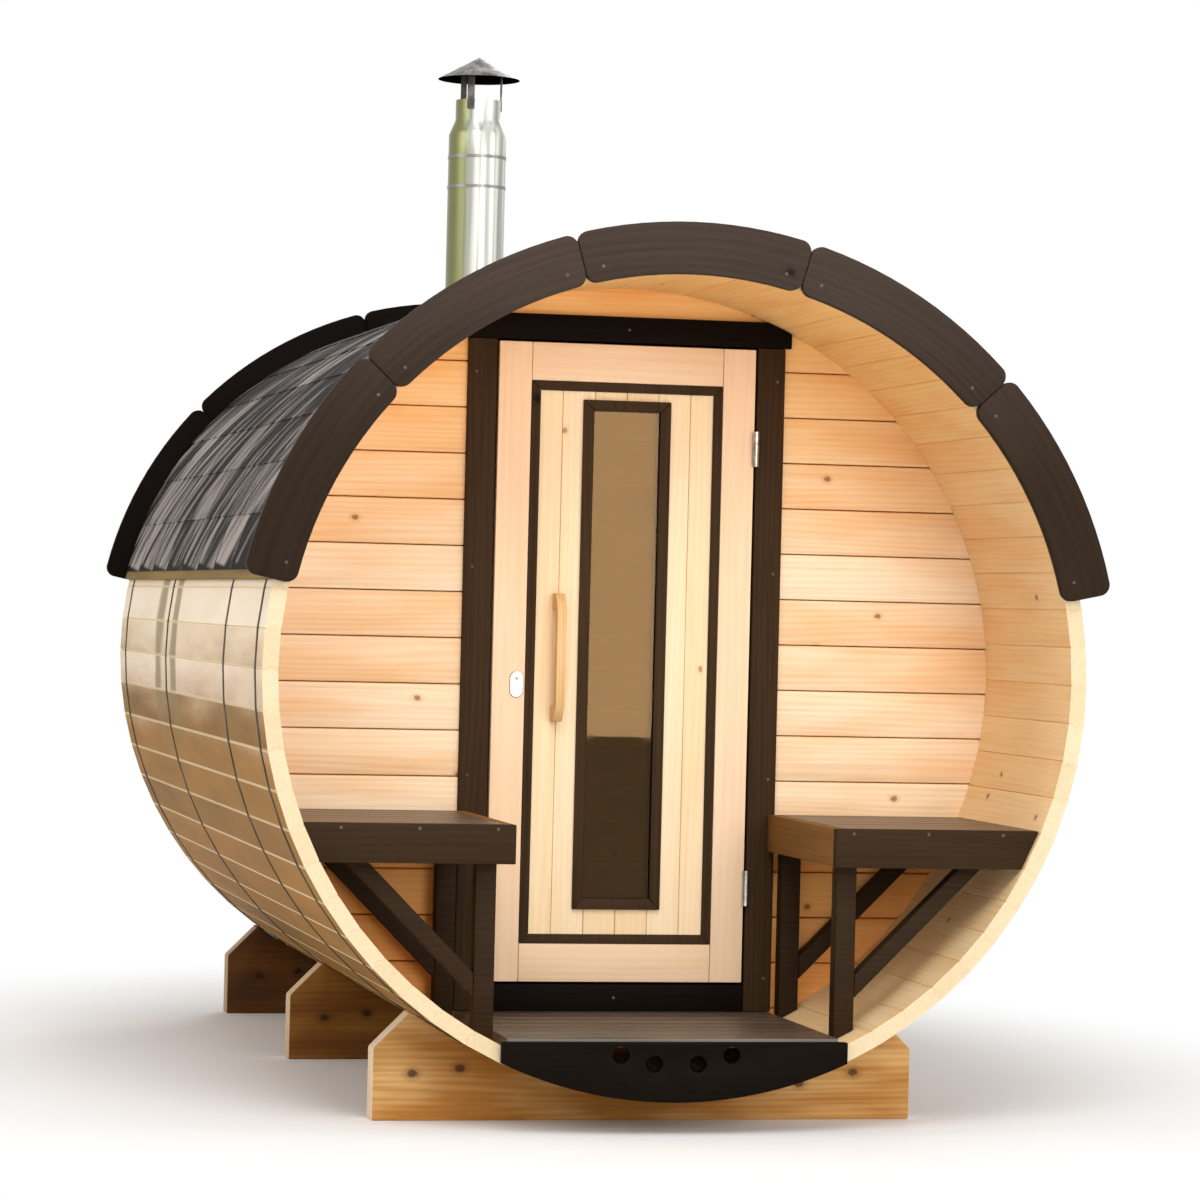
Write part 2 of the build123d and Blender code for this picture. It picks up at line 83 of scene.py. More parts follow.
def linear(hex_colour: str) -> Colour:
    """Turns an sRGB hex colour into linear RGBA.

    Args:
        hex_colour: six hex digits after a hash sign.

    Returns:
        Linear red, green, blue and an alpha of 1.
    """
    parts = [int(hex_colour[place:place + 2], 16) / 255 for place in (1, 3, 5)]
    return (*[part / 12.92 if part <= 0.04045 else ((part + 0.055) / 1.055) ** 2.4 for part in parts], 1.0)


def add(tree: NodeTree, kind: str, links: dict | None = None, **settings) -> Node:
    """Adds one shader node with its settings, values and links.

    Args:
        tree: node tree that gets the node.
        kind: node type, without the ShaderNode in front.
        links: input name or number, with the value, socket or node that feeds it. A node feeds it
            from its first output.
        settings: properties of the node itself.

    Returns:
        The new node.
    """
    node = tree.nodes.new("ShaderNode" + kind)
    for name, value in settings.items():
        setattr(node, name, value)
    for name, value in (links or {}).items():
        if isinstance(value, Node):
            value = value.outputs[0]
        if isinstance(value, NodeSocket):
            tree.links.new(value, node.inputs[name])
        else:
            node.inputs[name].default_value = value
    return node


def blank_material(name: str) -> tuple[Material, NodeTree]:
    """Makes a material with an empty node tree.

    Args:
        name: the material's name.

    Returns:
        The material and its tree.
    """
    material = bpy.data.materials.new(name)
    material.use_nodes = True
    material.node_tree.nodes.clear()
    return material, material.node_tree


@dataclass(frozen=True)
class Barrel:
    """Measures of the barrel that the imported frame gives, in metres."""

    axis_height: float
    radius: float
    front: float
    rear: float
    staves: int = 66

    @classmethod
    def from_frame(cls) -> "Barrel":
        """Reads the measures from the boxes of the hoops and the staves.

        Returns:
            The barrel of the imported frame.
        """
        low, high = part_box("hoop_middle")
        ends_low, ends_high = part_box("staves_bottom")
        return cls((low[2] + high[2]) / 2, (high[2] - low[2]) / 2, ends_low[1], ends_high[1])

    def spot(self, radius: float, angle: float, depth: float) -> Vector:
        """Gives a point by its radius, its angle in degrees from the top towards +X, and its Y."""
        turn = math.radians(angle)
        return Vector((radius * math.sin(turn), depth, self.axis_height + radius * math.cos(turn)))

    def unrolled(self, tree: NodeTree) -> tuple[Feed, Feed, Feed]:
        """Adds the nodes that tell where on the barrel a point lies.

        Args:
            tree: node tree of a finish.

        Returns:
            Metres along the barrel, the angle from the top towards +X, and the radius.
        """
        x, y, z = add(tree, "SeparateXYZ", {0: add(tree, "TexCoord").outputs["Object"]}).outputs
        rise = add(tree, "Math", {0: z, 1: self.axis_height}, operation="SUBTRACT")
        angle = add(tree, "Math", {0: x, 1: rise}, operation="ARCTAN2")
        flat = add(tree, "CombineXYZ", {0: x, 1: rise})
        return y, angle, add(tree, "VectorMath", {0: flat}, operation="LENGTH").outputs["Value"]


class Run(Enum):
    """Which way the grain of a finish goes, and which way its boards follow each other."""

    LEVEL = "grain along X, boards one above the other"
    UPRIGHT = "grain along Z, boards side by side"
    CROSSWAYS = "grain along X, boards one behind the other"
    LENGTHWISE = "grain along Y, boards side by side"
    STAVE = "grain along Y, boards round the barrel"
    CURVED = "grain round the barrel"


@dataclass(frozen=True)
class Timber:
    """Softwood board: pale and warm bands of growth rings, fibres, blotches and knots.

    Sizes are in millimetres. Growth rings of spruce are 2 to 4 mm apart, too fine for the
    picture, so ring_mm draws them as coarse as they need to show. What is given per metre runs
    along, across and into the board.
    """

    name: str
    barrel: Barrel
    run: Run
    pale: str
    warm: str
    dark: str
    knot: str
    board_mm: float = 115.0
    origin_mm: float = 0.0
    board_jump_m: float = 9.0
    ring_mm: float = 16.0
    ring_waver: float = 22.0
    ring_stretch: tuple[float, float, float] = (0.1, 1.0, 1.0)
    fibres_per_m: tuple[float, float, float] = (3.0, 140.0, 140.0)
    blotches_per_m: tuple[float, float, float] = (2.2, 11.0, 11.0)
    figure: float = 0.35
    fibre: float = 0.3
    blotch: float = 0.35
    spread: float = 0.35
    knot_cell_mm: float = 150.0
    knot_mm: float = 9.0
    knot_share: float = 0.3
    knot_stretch: tuple[float, float, float] = (0.75, 1.0, 1.0)
    ragged_mm: float = 9.0
    ragged_per_m: float = 75.0
    roughness: float = 0.6
    specular: float = 0.25
    relief_mm: float = 0.25
    sawn_end: str = ""
    # Colours that the wood is multiplied by between two heights, such as painted shade.
    tinges: tuple[tuple[str, float, float], ...] = ()

    def material(self) -> Material:
        """Builds the finish.

        Returns:
            The material, with its pattern on Object coordinates.
        """
        material, tree = blank_material(self.name)
        grain, board = self.grain_space(tree)
        colour, height = self.colour(tree, grain, board)
        self.shade(tree, colour, height)
        return material

    def grain_space(self, tree: NodeTree) -> tuple[Feed, Feed]:
        """Turns Object coordinates to the grain and numbers the boards.

        Args:
            tree: node tree of the finish.

        Returns:
            A vector of metres along, across and into the board, different on each board, and
            the board's number.
        """
        if self.run in (Run.STAVE, Run.CURVED):
            length, angle, radius = self.barrel.unrolled(tree)
            around = add(tree, "Math", {0: angle, 1: self.barrel.radius}, operation="MULTIPLY")
            axes = (length, around, radius) if self.run is Run.STAVE else (around, radius, length)
        else:
            x, y, z = add(tree, "SeparateXYZ", {0: add(tree, "TexCoord").outputs["Object"]}).outputs
            axes = {Run.LEVEL: (x, z, y), Run.UPRIGHT: (z, x, y), Run.CROSSWAYS: (x, y, z),
                    Run.LENGTHWISE: (y, x, z)}[self.run]
        along, across, deep = axes
        stack = along if self.run is Run.CURVED else across
        shifted = add(tree, "Math", {0: stack, 1: self.origin_mm * MM}, operation="SUBTRACT")
        counted = add(tree, "Math", {0: shifted, 1: self.board_mm * MM}, operation="DIVIDE")
        board = add(tree, "Math", {0: counted}, operation="FLOOR")
        jump = add(tree, "TexWhiteNoise", {"W": board}, noise_dimensions="1D").outputs["Color"]
        apart = add(tree, "VectorMath", {0: jump, 1: (self.board_jump_m,) * 3}, operation="MULTIPLY")
        bare = add(tree, "CombineXYZ", {0: along, 1: across, 2: deep})
        return add(tree, "VectorMath", {0: bare, 1: apart}, operation="ADD"), board

    def colour(self, tree: NodeTree, grain: Feed, board: Feed) -> tuple[Feed, Feed]:
        """Lays rings, fibres, blotches and knots over each other.

        Args:
            tree: node tree of the finish.
            grain: place in the board, along, across and into it.
            board: number of the board.

        Returns:
            The colour, and the height that the relief is made from.
        """
        drawn = add(tree, "VectorMath", {0: grain, 1: self.ring_stretch}, operation="MULTIPLY")
        rings = add(tree, "TexWave", {"Vector": drawn, "Scale": WAVE_PERIOD / (self.ring_mm * MM),
                                      "Distortion": self.ring_waver, "Detail": 2.0, "Detail Scale": 0.28,
                                      "Detail Roughness": 0.5}, bands_direction="Y").outputs["Fac"]
        fine = add(tree, "VectorMath", {0: grain, 1: self.fibres_per_m}, operation="MULTIPLY")
        fibres = add(tree, "TexNoise", {"Vector": fine, "Scale": 1.0, "Detail": 3.0, "Roughness": 0.6})
        broad = add(tree, "VectorMath", {0: grain, 1: self.blotches_per_m}, operation="MULTIPLY")
        patches = add(tree, "TexNoise", {"Vector": broad, "Scale": 1.0, "Detail": 2.0, "Roughness": 0.5})

        tone = add(tree, "TexWhiteNoise", {"W": board}, noise_dimensions="1D").outputs["Value"]
        banded = add(tree, "Math", {0: rings, 1: self.figure}, operation="MULTIPLY")
        patched = add(tree, "MapRange", {"Value": patches, "From Min": 0.42, "From Max": 0.72,
                                         "To Max": self.blotch})
        warmth = add(tree, "Math", {0: tone, 1: self.spread, 2: banded}, operation="MULTIPLY_ADD")
        warmth = add(tree, "Math", {0: warmth, 1: patched}, operation="ADD", use_clamp=True)
        wood = add(tree, "Mix", {SHARE: warmth, UNDER: linear(self.pale), OVER: linear(self.warm)},
                   data_type="RGBA").outputs[MIXED]
        streak = add(tree, "MapRange", {"Value": fibres, "From Min": 0.5, "From Max": 0.8,
                                        "To Max": self.fibre})
        halo, eye = self.knots(tree, grain)
        for share, over in ((streak, self.dark), (halo, self.dark), (eye, self.knot)):
            wood = add(tree, "Mix", {SHARE: share, UNDER: wood, OVER: linear(over)},
                       data_type="RGBA").outputs[MIXED]
        for tinge, start, full in self.tinges:
            wood = self.tinged(tree, wood, tinge, (start, full))
        if self.sawn_end:
            axis = {Run.UPRIGHT: 2, Run.LENGTHWISE: 1}.get(self.run, 0)
            wood = self.end_grain(tree, wood, linear(self.sawn_end), axis)
        return wood, add(tree, "Math", {0: fibres, 1: rings}, operation="ADD")

    def knots(self, tree: NodeTree, grain: Feed) -> tuple[Feed, Feed]:
        """Scatters ragged oval knots over the boards.

        Args:
            tree: node tree of the finish.
            grain: place in the board, along, across and into it.

        Returns:
            How much of the dark ring round a knot there is, and how much of the knot.
        """
        ragged = add(tree, "TexNoise", {"Vector": grain, "Scale": self.ragged_per_m,
                                        "Detail": 2.0}).outputs["Color"]
        ragged = add(tree, "VectorMath", {0: ragged, 1: (self.ragged_mm * MM, self.ragged_mm * MM, 0.0),
                                          2: grain}, operation="MULTIPLY_ADD")
        oval = add(tree, "VectorMath", {0: ragged, 1: self.knot_stretch}, operation="MULTIPLY")
        cells = add(tree, "TexVoronoi", {"Vector": oval, "Scale": 1 / (self.knot_cell_mm * MM)},
                    voronoi_dimensions="2D").outputs
        reach = self.knot_mm / self.knot_cell_mm
        chosen = add(tree, "SeparateXYZ", {0: cells["Color"]})
        here = add(tree, "Math", {0: chosen, 1: self.knot_share}, operation="LESS_THAN")
        shares = []
        for far, near, most in ((2.6, 0.8, 0.35), (1.15, 0.6, 0.8)):
            share = add(tree, "MapRange", {"Value": cells["Distance"], "From Min": far * reach,
                                           "From Max": near * reach, "To Max": most},
                        interpolation_type="SMOOTHSTEP")
            shares.append(add(tree, "Math", {0: share, 1: here}, operation="MULTIPLY"))
        return shares[0], shares[1]

    def tinged(self, tree: NodeTree, wood: Feed, tinge: str, heights: tuple[float, float]) -> Feed:
        """Multiplies the wood by a colour between two heights, such as painted shade high up under the roof.

        Args:
            tree: node tree of the finish.
            wood: colour of the wood without the tinge.
            tinge: colour that it is multiplied by.
            heights: where the tinge sets in and where it is full, in metres.

        Returns:
            The colour at every height.
        """
        height = add(tree, "SeparateXYZ", {0: add(tree, "TexCoord").outputs["Object"]}).outputs[2]
        share = add(tree, "MapRange", {"Value": height, "From Min": heights[0], "From Max": heights[1]},
                    interpolation_type="SMOOTHSTEP")
        return add(tree, "Mix", {SHARE: share, UNDER: wood, OVER: linear(tinge)}, data_type="RGBA",
                   blend_type="MULTIPLY").outputs[MIXED]

    @staticmethod
    def end_grain(tree: NodeTree, wood: Feed, sawn: Feed | Colour, axis: int,
                  square: float = 0.66) -> Feed:
        """Lets ends and shoulders that are sawn across the grain show their own colour.

        Args:
            tree: node tree of the finish.
            wood: colour of the long faces.
            sawn: colour of the ends.
            axis: axis of the grain.
            square: how squarely a face that counts as an end looks along the axis.

        Returns:
            The colour of all faces.
        """
        normal = add(tree, "NewGeometry").outputs["True Normal"]
        facing = add(tree, "Math", {0: add(tree, "SeparateXYZ", {0: normal}).outputs[axis]},
                     operation="ABSOLUTE")
        is_end = add(tree, "Math", {0: facing, 1: square}, operation="GREATER_THAN")
        return add(tree, "Mix", {SHARE: is_end, UNDER: wood, OVER: sawn}, data_type="RGBA").outputs[MIXED]

    def shade(self, tree: NodeTree, colour: Feed, height: Feed) -> None:
        """Feeds the colour and the relief to the shader.

        Args:
            tree: node tree of the finish.
            colour: colour of the wood.
            height: raised grain, 0 to about 2.
        """
        bump = add(tree, "Bump", {"Strength": 0.35, "Distance": self.relief_mm * MM, "Height": height})
        surface = add(tree, "BsdfPrincipled", {"Base Color": colour, "Roughness": self.roughness,
                                               "Normal": bump, "Specular IOR Level": self.specular})
        add(tree, "OutputMaterial", {"Surface": surface})


@dataclass(frozen=True)
class StaveTimber(Timber):
    """Stave wood: pale inside, weathered outside with painted light above, painted shade below and painted
    highlights on the joints, end grain on the rings.
    """

    # Upper half of the outside, pale: painted light from the sky.
    outer_pale: str = "#FDE9D2"
    outer_warm: str = "#EED4B0"
    # Lower half of the outside, darker and gold-brown: painted shade.
    outer_low: str = "#AA7830"
    outer_deep: str = "#835D23"
    outer_stain: str = "#8C7A52"
    # Painted highlight: the pale edges of the staves outside, where light catches the chamfers.
    joint: str = "#F0DCB2"
    end_pale: str = "#E3CDA9"
    end_warm: str = "#D6BD95"
    weather_per_m: tuple[float, float, float] = (1.6, 9.0, 1.0)
    pores_per_m: tuple[float, float, float] = (160.0, 1.0, 160.0)
    run_per_m: tuple[float, float, float] = (7.0, 6.0, 9.0)
    golden_deg: tuple[float, float] = (92.0, 111.0)
    run_end_deg: tuple[float, float] = (106.0, 96.0)
    joint_from: tuple[float, float] = (0.45, 0.48)
    skin_mm: float = 9.0
    runs: tuple[tuple[float, float], ...] = ()

    def colour(self, tree: NodeTree, grain: Feed, board: Feed) -> tuple[Feed, Feed]:
        """Adds the weathered outside and the sawn ends to the planed wood of the inside.

        Args:
            tree: node tree of the finish.
            grain: place in the stave, along, across and into it.
            board: number of the stave.

        Returns:
            The colour, and the height that the relief is made from.
        """
        inside, height = super().colour(tree, grain, board)
        along, angle, radius = self.barrel.unrolled(tree)
        tone = add(tree, "TexWhiteNoise", {"W": board}, noise_dimensions="1D").outputs["Value"]
        outside = self.outside(tree, grain, tone, (along, angle))
        is_outside = add(tree, "Math", {0: radius, 1: self.barrel.radius - self.skin_mm * MM},
                         operation="GREATER_THAN")
        wood = add(tree, "Mix", {SHARE: is_outside, UNDER: inside, OVER: outside},
                   data_type="RGBA").outputs[MIXED]

        place = add(tree, "TexCoord").outputs["Object"]
        rough = add(tree, "VectorMath", {0: place, 1: self.pores_per_m}, operation="MULTIPLY")
        pores = add(tree, "TexNoise", {"Vector": rough, "Scale": 1.0, "Detail": 3.0, "Roughness": 0.6})
        pores = add(tree, "Math", {0: tone, 1: 0.3, 2: pores}, operation="MULTIPLY_ADD")
        pores = add(tree, "MapRange", {"Value": pores, "From Min": 0.4, "From Max": 1.0})
        sawn = add(tree, "Mix", {SHARE: pores, UNDER: linear(self.end_pale), OVER: linear(self.end_warm)},
                   data_type="RGBA").outputs[MIXED]
        return self.end_grain(tree, wood, sawn, axis=1, square=0.7), height

    def outside(self, tree: NodeTree, grain: Feed, tone: Feed, place: tuple[Feed, Feed]) -> Feed:
        """Weathers the outside, pale above as painted light and gold-brown below as painted shade, with rain
        runs and painted highlights on the joints.

        Args:
            tree: node tree of the finish.
            grain: place in the stave, along, across and into it.
            tone: a number of its own for each stave, 0 to 1.
            place: metres along the barrel, and the angle from the top.

        Returns:
            The colour of the outside.
        """
        along, angle = place
        drift = add(tree, "VectorMath", {0: grain, 1: self.weather_per_m}, operation="MULTIPLY")
        weather = add(tree, "TexNoise", {"Vector": drift, "Scale": 1.0, "Detail": 3.0, "Roughness": 0.55})
        wear_and_shadow = add(tree, "Math", {0: tone, 1: 0.45, 2: weather}, operation="MULTIPLY_ADD")
        wear_and_shadow = add(tree, "MapRange", {"Value": wear_and_shadow, "From Min": 0.35, "From Max": 1.0})
        above, shaded_gold = (add(tree, "Mix", {SHARE: wear_and_shadow, UNDER: linear(light), OVER: linear(deep)},
                             data_type="RGBA").outputs[MIXED]
                         for light, deep in ((self.outer_pale, self.outer_warm),
                                             (self.outer_low, self.outer_deep)))
        # Painted shade: the lower half turns darker and gold-brown, each stave in its own way.
        side = add(tree, "Math", {0: angle}, operation="ABSOLUTE")
        below = add(tree, "Math", {0: weather, 1: 0.2, 2: side}, operation="MULTIPLY_ADD")
        below = add(tree, "Math", {0: tone, 1: 0.1, 2: below}, operation="MULTIPLY_ADD")
        below = add(tree, "MapRange", {"Value": below, "From Min": math.radians(self.golden_deg[0]),
                                       "From Max": math.radians(self.golden_deg[1])},
                    interpolation_type="SMOOTHSTEP")
        layers = [(below, shaded_gold)]
        layers += [(self.rain_run(tree, (along, side), *run), linear(self.outer_stain)) for run in self.runs]
        # Painted highlight: the edges of each stave outside are paler.
        turns = add(tree, "Math", {0: angle, 1: self.barrel.staves / (2 * math.pi)}, operation="MULTIPLY")
        near = add(tree, "Math", {0: turns, 1: 0.5}, operation="PINGPONG")
        edge = add(tree, "MapRange", {"Value": near, "From Min": self.joint_from[0],
                                      "From Max": self.joint_from[1], "To Max": 0.75})
        layers.append((edge, linear(self.joint)))
        colour = above
        for share, over in layers:
            colour = add(tree, "Mix", {SHARE: share, UNDER: colour, OVER: over},
                         data_type="RGBA").outputs[MIXED]
        return colour

    def rain_run(self, tree: NodeTree, place: tuple[Feed, Feed], middle: float,
                 half_width: float) -> Feed:
        """Draws where rain runs down from the eave beside a hoop and leaves a stain.

        Args:
            tree: node tree of the finish.
            place: metres along the barrel, and the angle from the top.
            middle: middle of the run along the barrel.
            half_width: half its width in metres.

        Returns:
            How much of the stain there is, 0 to 1.
        """
        along, side = place
        sheet = add(tree, "CombineXYZ", {0: along, 1: side, 2: middle})
        sheet = add(tree, "VectorMath", {0: sheet, 1: self.run_per_m}, operation="MULTIPLY")
        waver = add(tree, "TexNoise", {"Vector": sheet, "Scale": 1.0, "Detail": 3.0})
        off = add(tree, "Math", {0: along, 1: middle}, operation="SUBTRACT")
        off = add(tree, "Math", {0: off}, operation="ABSOLUTE")
        off = add(tree, "Math", {0: waver, 1: 1.6 * half_width, 2: off}, operation="MULTIPLY_ADD")
        inside = add(tree, "MapRange", {"Value": off, "From Min": 1.9 * half_width,
                                        "From Max": 1.4 * half_width, "To Max": 0.8})
        ending = add(tree, "MapRange", {"Value": side, "From Min": math.radians(self.run_end_deg[0]),
                                        "From Max": math.radians(self.run_end_deg[1])})
        return add(tree, "Math", {0: inside, 1: ending}, operation="MULTIPLY")


@dataclass(frozen=True)
class Coursing:
    """How the shingles lie: tabs with slits between them, in courses from the eave up."""

    eave_deg: float = 76.7
    tab_mm: float = 333.0
    slit_mm: float = 6.0
    course_mm: float = 143.0
    lap_mm: float = 36.0


@dataclass(frozen=True)
class MineralShingle:
    """Bitumen shingle with pressed mineral grit: slits and eave corners drawn dark as painted shadow,
    streaks, tabs of several greys.

    Grit is about 1 mm across, too fine for the picture, so it is drawn at grit_mm. Streaks and
    clouds are given per metre along the roof and round it.
    """

    name: str
    barrel: Barrel
    coursing: Coursing
    pale: str = "#A89D96"
    dark: str = "#1A1411"
    # Painted shadow in the slits and at the eave corners of the tabs.
    slit: str = "#0B0908"
    grit_mm: float = 5.0
    lean: float = 1.16
    tooth_mm: float = 20.0
    streaks_per_m: tuple[float, float, float] = (12.0, 2.6, 1.0)
    clouds_per_m: tuple[float, float, float] = (2.6, 1.6, 1.0)
    moss_deg: tuple[float, float] = (55.0, 15.0)
    moss: float = 0.13
    tones: tuple[float, float] = (0.775, 1.01)

    def material(self) -> Material:
        """Builds the finish.

        Returns:
            The material, with the tabs told apart by their place along and round the roof.
        """
        material, tree = blank_material(self.name)
        along, angle, _ = self.barrel.unrolled(tree)
        side = add(tree, "Math", {0: angle}, operation="ABSOLUTE")
        number, tabs = self.tabs(tree, along, side)
        column = add(tree, "Math", {0: tabs}, operation="FLOOR")
        cell = add(tree, "CombineXYZ", {0: column, 1: number})
        shade = add(tree, "TexWhiteNoise", {"Vector": cell}, noise_dimensions="2D").outputs["Value"]
        place = add(tree, "TexCoord").outputs["Object"]
        grit = add(tree, "TexNoise", {"Vector": place, "Scale": 1 / (self.grit_mm * MM), "Detail": 2.0})

        # Pale and dark streaks run slanting over the roof.
        around = add(tree, "Math", {0: angle, 1: self.barrel.radius}, operation="MULTIPLY")
        leaned = add(tree, "Math", {0: around, 1: self.lean, 2: along}, operation="MULTIPLY_ADD")
        sheet = add(tree, "CombineXYZ", {0: leaned, 1: around})
        runs = add(tree, "VectorMath", {0: sheet, 1: self.streaks_per_m}, operation="MULTIPLY")
        tone = add(tree, "TexNoise", {"Vector": runs, "Scale": 1.0, "Detail": 4.0, "Roughness": 0.6})
        wide = add(tree, "VectorMath", {0: sheet, 1: self.clouds_per_m}, operation="MULTIPLY")
        clouds = add(tree, "TexNoise", {"Vector": wide, "Scale": 1.0, "Detail": 2.0})
        # Moss and dirt stay on the flat top.
        mossy = add(tree, "MapRange", {"Value": side, "From Min": math.radians(self.moss_deg[0]),
                                       "From Max": math.radians(self.moss_deg[1]), "To Max": self.moss})
        for layer, weight in ((shade, 0.12), (clouds, 0.6), (grit, 0.16), (mossy, 1.0)):
            tone = add(tree, "Math", {0: layer, 1: weight, 2: tone}, operation="MULTIPLY_ADD")
        tone = add(tree, "MapRange", {"Value": tone, "From Min": self.tones[0], "From Max": self.tones[1]})
        colour = add(tree, "Mix", {SHARE: tone, UNDER: linear(self.pale), OVER: linear(self.dark)},
                     data_type="RGBA").outputs[MIXED]
        # Painted shadow over the slits and the eave corners.
        colour = add(tree, "Mix", {SHARE: self.painted_slit_shadows(tree, tabs, side), UNDER: colour,
                                   OVER: linear(self.slit)}, data_type="RGBA").outputs[MIXED]
        bump = add(tree, "Bump", {"Strength": 0.5, "Distance": 0.8 * MM, "Height": grit})
        surface = add(tree, "BsdfPrincipled", {"Base Color": colour, "Roughness": 0.8, "Normal": bump,
                                               "Specular IOR Level": 0.1})
        add(tree, "OutputMaterial", {"Surface": surface})
        return material

    def tabs(self, tree: NodeTree, along: Feed, side: Feed) -> tuple[Feed, Feed]:
        """Counts the courses up the roof and the tabs along it.

        Args:
            tree: node tree of the finish.
            along: metres along the barrel.
            side: angle from the top.

        Returns:
            The number of the course, and tabs from the front, with every other course half a tab on.
        """
        eave = math.radians(self.coursing.eave_deg)
        pitch = self.coursing.course_mm * MM / self.barrel.radius
        number = add(tree, "MapRange", {"Value": side, "From Min": eave, "From Max": eave - pitch},
                     clamp=False)
        number = add(tree, "Math", {0: number}, operation="FLOOR")
        odd = add(tree, "Math", {0: number, 1: 2.0}, operation="FLOORED_MODULO")
        first_tab = self.barrel.front + self.coursing.tab_mm * MM
        tabs = add(tree, "MapRange", {"Value": along, "From Min": self.barrel.front, "From Max": first_tab},
                   clamp=False)
        return number, add(tree, "Math", {0: odd, 1: 0.5, 2: tabs}, operation="MULTIPLY_ADD")

    def painted_slit_shadows(self, tree: NodeTree, tabs: Feed, side: Feed) -> Feed:
        """Finds the slits between tabs, and a corner of every tab at the eave, which are drawn dark as
        painted shadow.

        Args:
            tree: node tree of the finish.
            tabs: tabs from the front.
            side: angle from the top.

        Returns:
            Where the painted shadow is, 0 to 1.
        """
        near = add(tree, "Math", {0: tabs, 1: 0.5}, operation="PINGPONG")
        reach = self.coursing.slit_mm / self.coursing.tab_mm
        in_slit = add(tree, "MapRange", {"Value": near, "From Min": 1.1 * reach, "From Max": 0.6 * reach})
        eave = math.radians(self.coursing.eave_deg)
        tooth = self.tooth_mm * MM / self.barrel.radius
        corner = add(tree, "Math", {0: tabs}, operation="FRACT")
        wear_and_shadow = add(tree, "Math", {0: corner, 1: tooth, 2: side}, operation="MULTIPLY_ADD")
        wear_and_shadow = add(tree, "MapRange", {"Value": wear_and_shadow, "From Min": eave - 0.2 * tooth,
                                      "From Max": eave + 0.2 * tooth})
        return add(tree, "Math", {0: in_slit, 1: wear_and_shadow}, operation="MAXIMUM")


@dataclass(frozen=True)
class SheetSteel:
    """Rolled steel sheet or strap: a metal with streaks of uneven polish, given per metre."""

    name: str
    pale: str
    dark: str
    metallic: float
    roughness: float
    streaks: tuple[float, float, float]
    # Painted reflection, darker and olive, on the side that faces -X.
    side_reflection: str = ""
    # Painted shade on what faces down.
    underside_shade: str = ""
    seam: str = ""
    seam_from: tuple[float, float, float] = (0.0, 0.0, 0.0)
    gloss: float = 0.5

    def material(self) -> Material:
        """Builds the finish.

        Returns:
            The material, with its streaks on Object coordinates.
        """
        material, tree = blank_material(self.name)
        place = add(tree, "TexCoord").outputs["Object"]
        drawn = add(tree, "VectorMath", {0: place, 1: self.streaks}, operation="MULTIPLY")
        polish = add(tree, "TexNoise", {"Vector": drawn, "Scale": 1.0, "Detail": 3.0, "Roughness": 0.55})
        tone = add(tree, "MapRange", {"Value": polish, "From Min": 0.35, "From Max": 0.68})
        layers = [(tone, self.dark)]
        turned, _, upward = add(tree, "SeparateXYZ", {0: add(tree, "NewGeometry").outputs["Normal"]}).outputs
        metallic, gloss = self.metallic, self.gloss
        if self.side_reflection:
            # Painted reflection: the side that faces -X is darker and olive.
            uneven = add(tree, "Math", {0: polish, 1: 0.5, 2: turned}, operation="MULTIPLY_ADD")
            reflected_share = add(tree, "MapRange", {"Value": uneven, "From Min": -0.1, "From Max": -0.4})
            layers.append((reflected_share, self.side_reflection))
        if self.seam:
            # Rolled seams stand proud of the sheet and are duller.
            axis = (*self.seam_from[:2], 0.0)
            from_axis = add(tree, "VectorMath", {0: place, 1: axis}, operation="SUBTRACT")
            from_axis = add(tree, "VectorMath", {0: from_axis, 1: (1.0, 1.0, 0.0)}, operation="MULTIPLY")
            reach = add(tree, "VectorMath", {0: from_axis}, operation="LENGTH").outputs["Value"]
            on_seam = add(tree, "Math", {0: reach, 1: self.seam_from[2]}, operation="GREATER_THAN")
            layers.append((on_seam, self.seam))
        if self.underside_shade:
            # Painted shade: what faces down is drawn black and matt.
            shaded_below = add(tree, "MapRange", {"Value": upward, "From Min": -0.1, "From Max": -0.3})
            layers.append((shaded_below, self.underside_shade))
            metallic, gloss = (add(tree, "MapRange", {"Value": shaded_below, "To Min": clean, "To Max": 0.0})
                               for clean in (metallic, gloss))
        colour = linear(self.pale)
        for share, over in layers:
            colour = add(tree, "Mix", {SHARE: share, UNDER: colour, OVER: linear(over)},
                         data_type="RGBA").outputs[MIXED]
        rough = add(tree, "MapRange", {"Value": polish, "From Min": 0.3, "From Max": 0.7,
                                       "To Min": 0.8 * self.roughness, "To Max": 1.3 * self.roughness})
        surface = add(tree, "BsdfPrincipled", {"Base Color": colour, "Metallic": metallic, "Roughness": rough,
                                               "Specular IOR Level": gloss})
        add(tree, "OutputMaterial", {"Surface": surface})
        return material


@dataclass(frozen=True)
class FloatGlass:
    """Bronze tinted glass: warm brown body colour, smooth faces, a breath of dust."""

    name: str
    tint: str = "#CDB48C"
    gleam: str = "#C9AE86"
    dust_mm: float = 60.0

    def material(self) -> Material:
        """Builds the finish.

        Returns:
            The material, with its dust on Object coordinates.
        """
        material, tree = blank_material(self.name)
        place = add(tree, "TexCoord").outputs["Object"]
        dust = add(tree, "TexNoise", {"Vector": place, "Scale": 1 / (self.dust_mm * MM), "Detail": 4.0})
        rough = add(tree, "MapRange", {"Value": dust, "From Min": 0.45, "From Max": 0.8, "To Max": 0.05})
        surface = add(tree, "BsdfPrincipled", {"Base Color": linear(self.tint), "Roughness": rough,
                                               "IOR": 1.52, "Specular Tint": linear(self.gleam),
                                               "Transmission Weight": 1.0})
        add(tree, "OutputMaterial", {"Surface": surface})
        return material


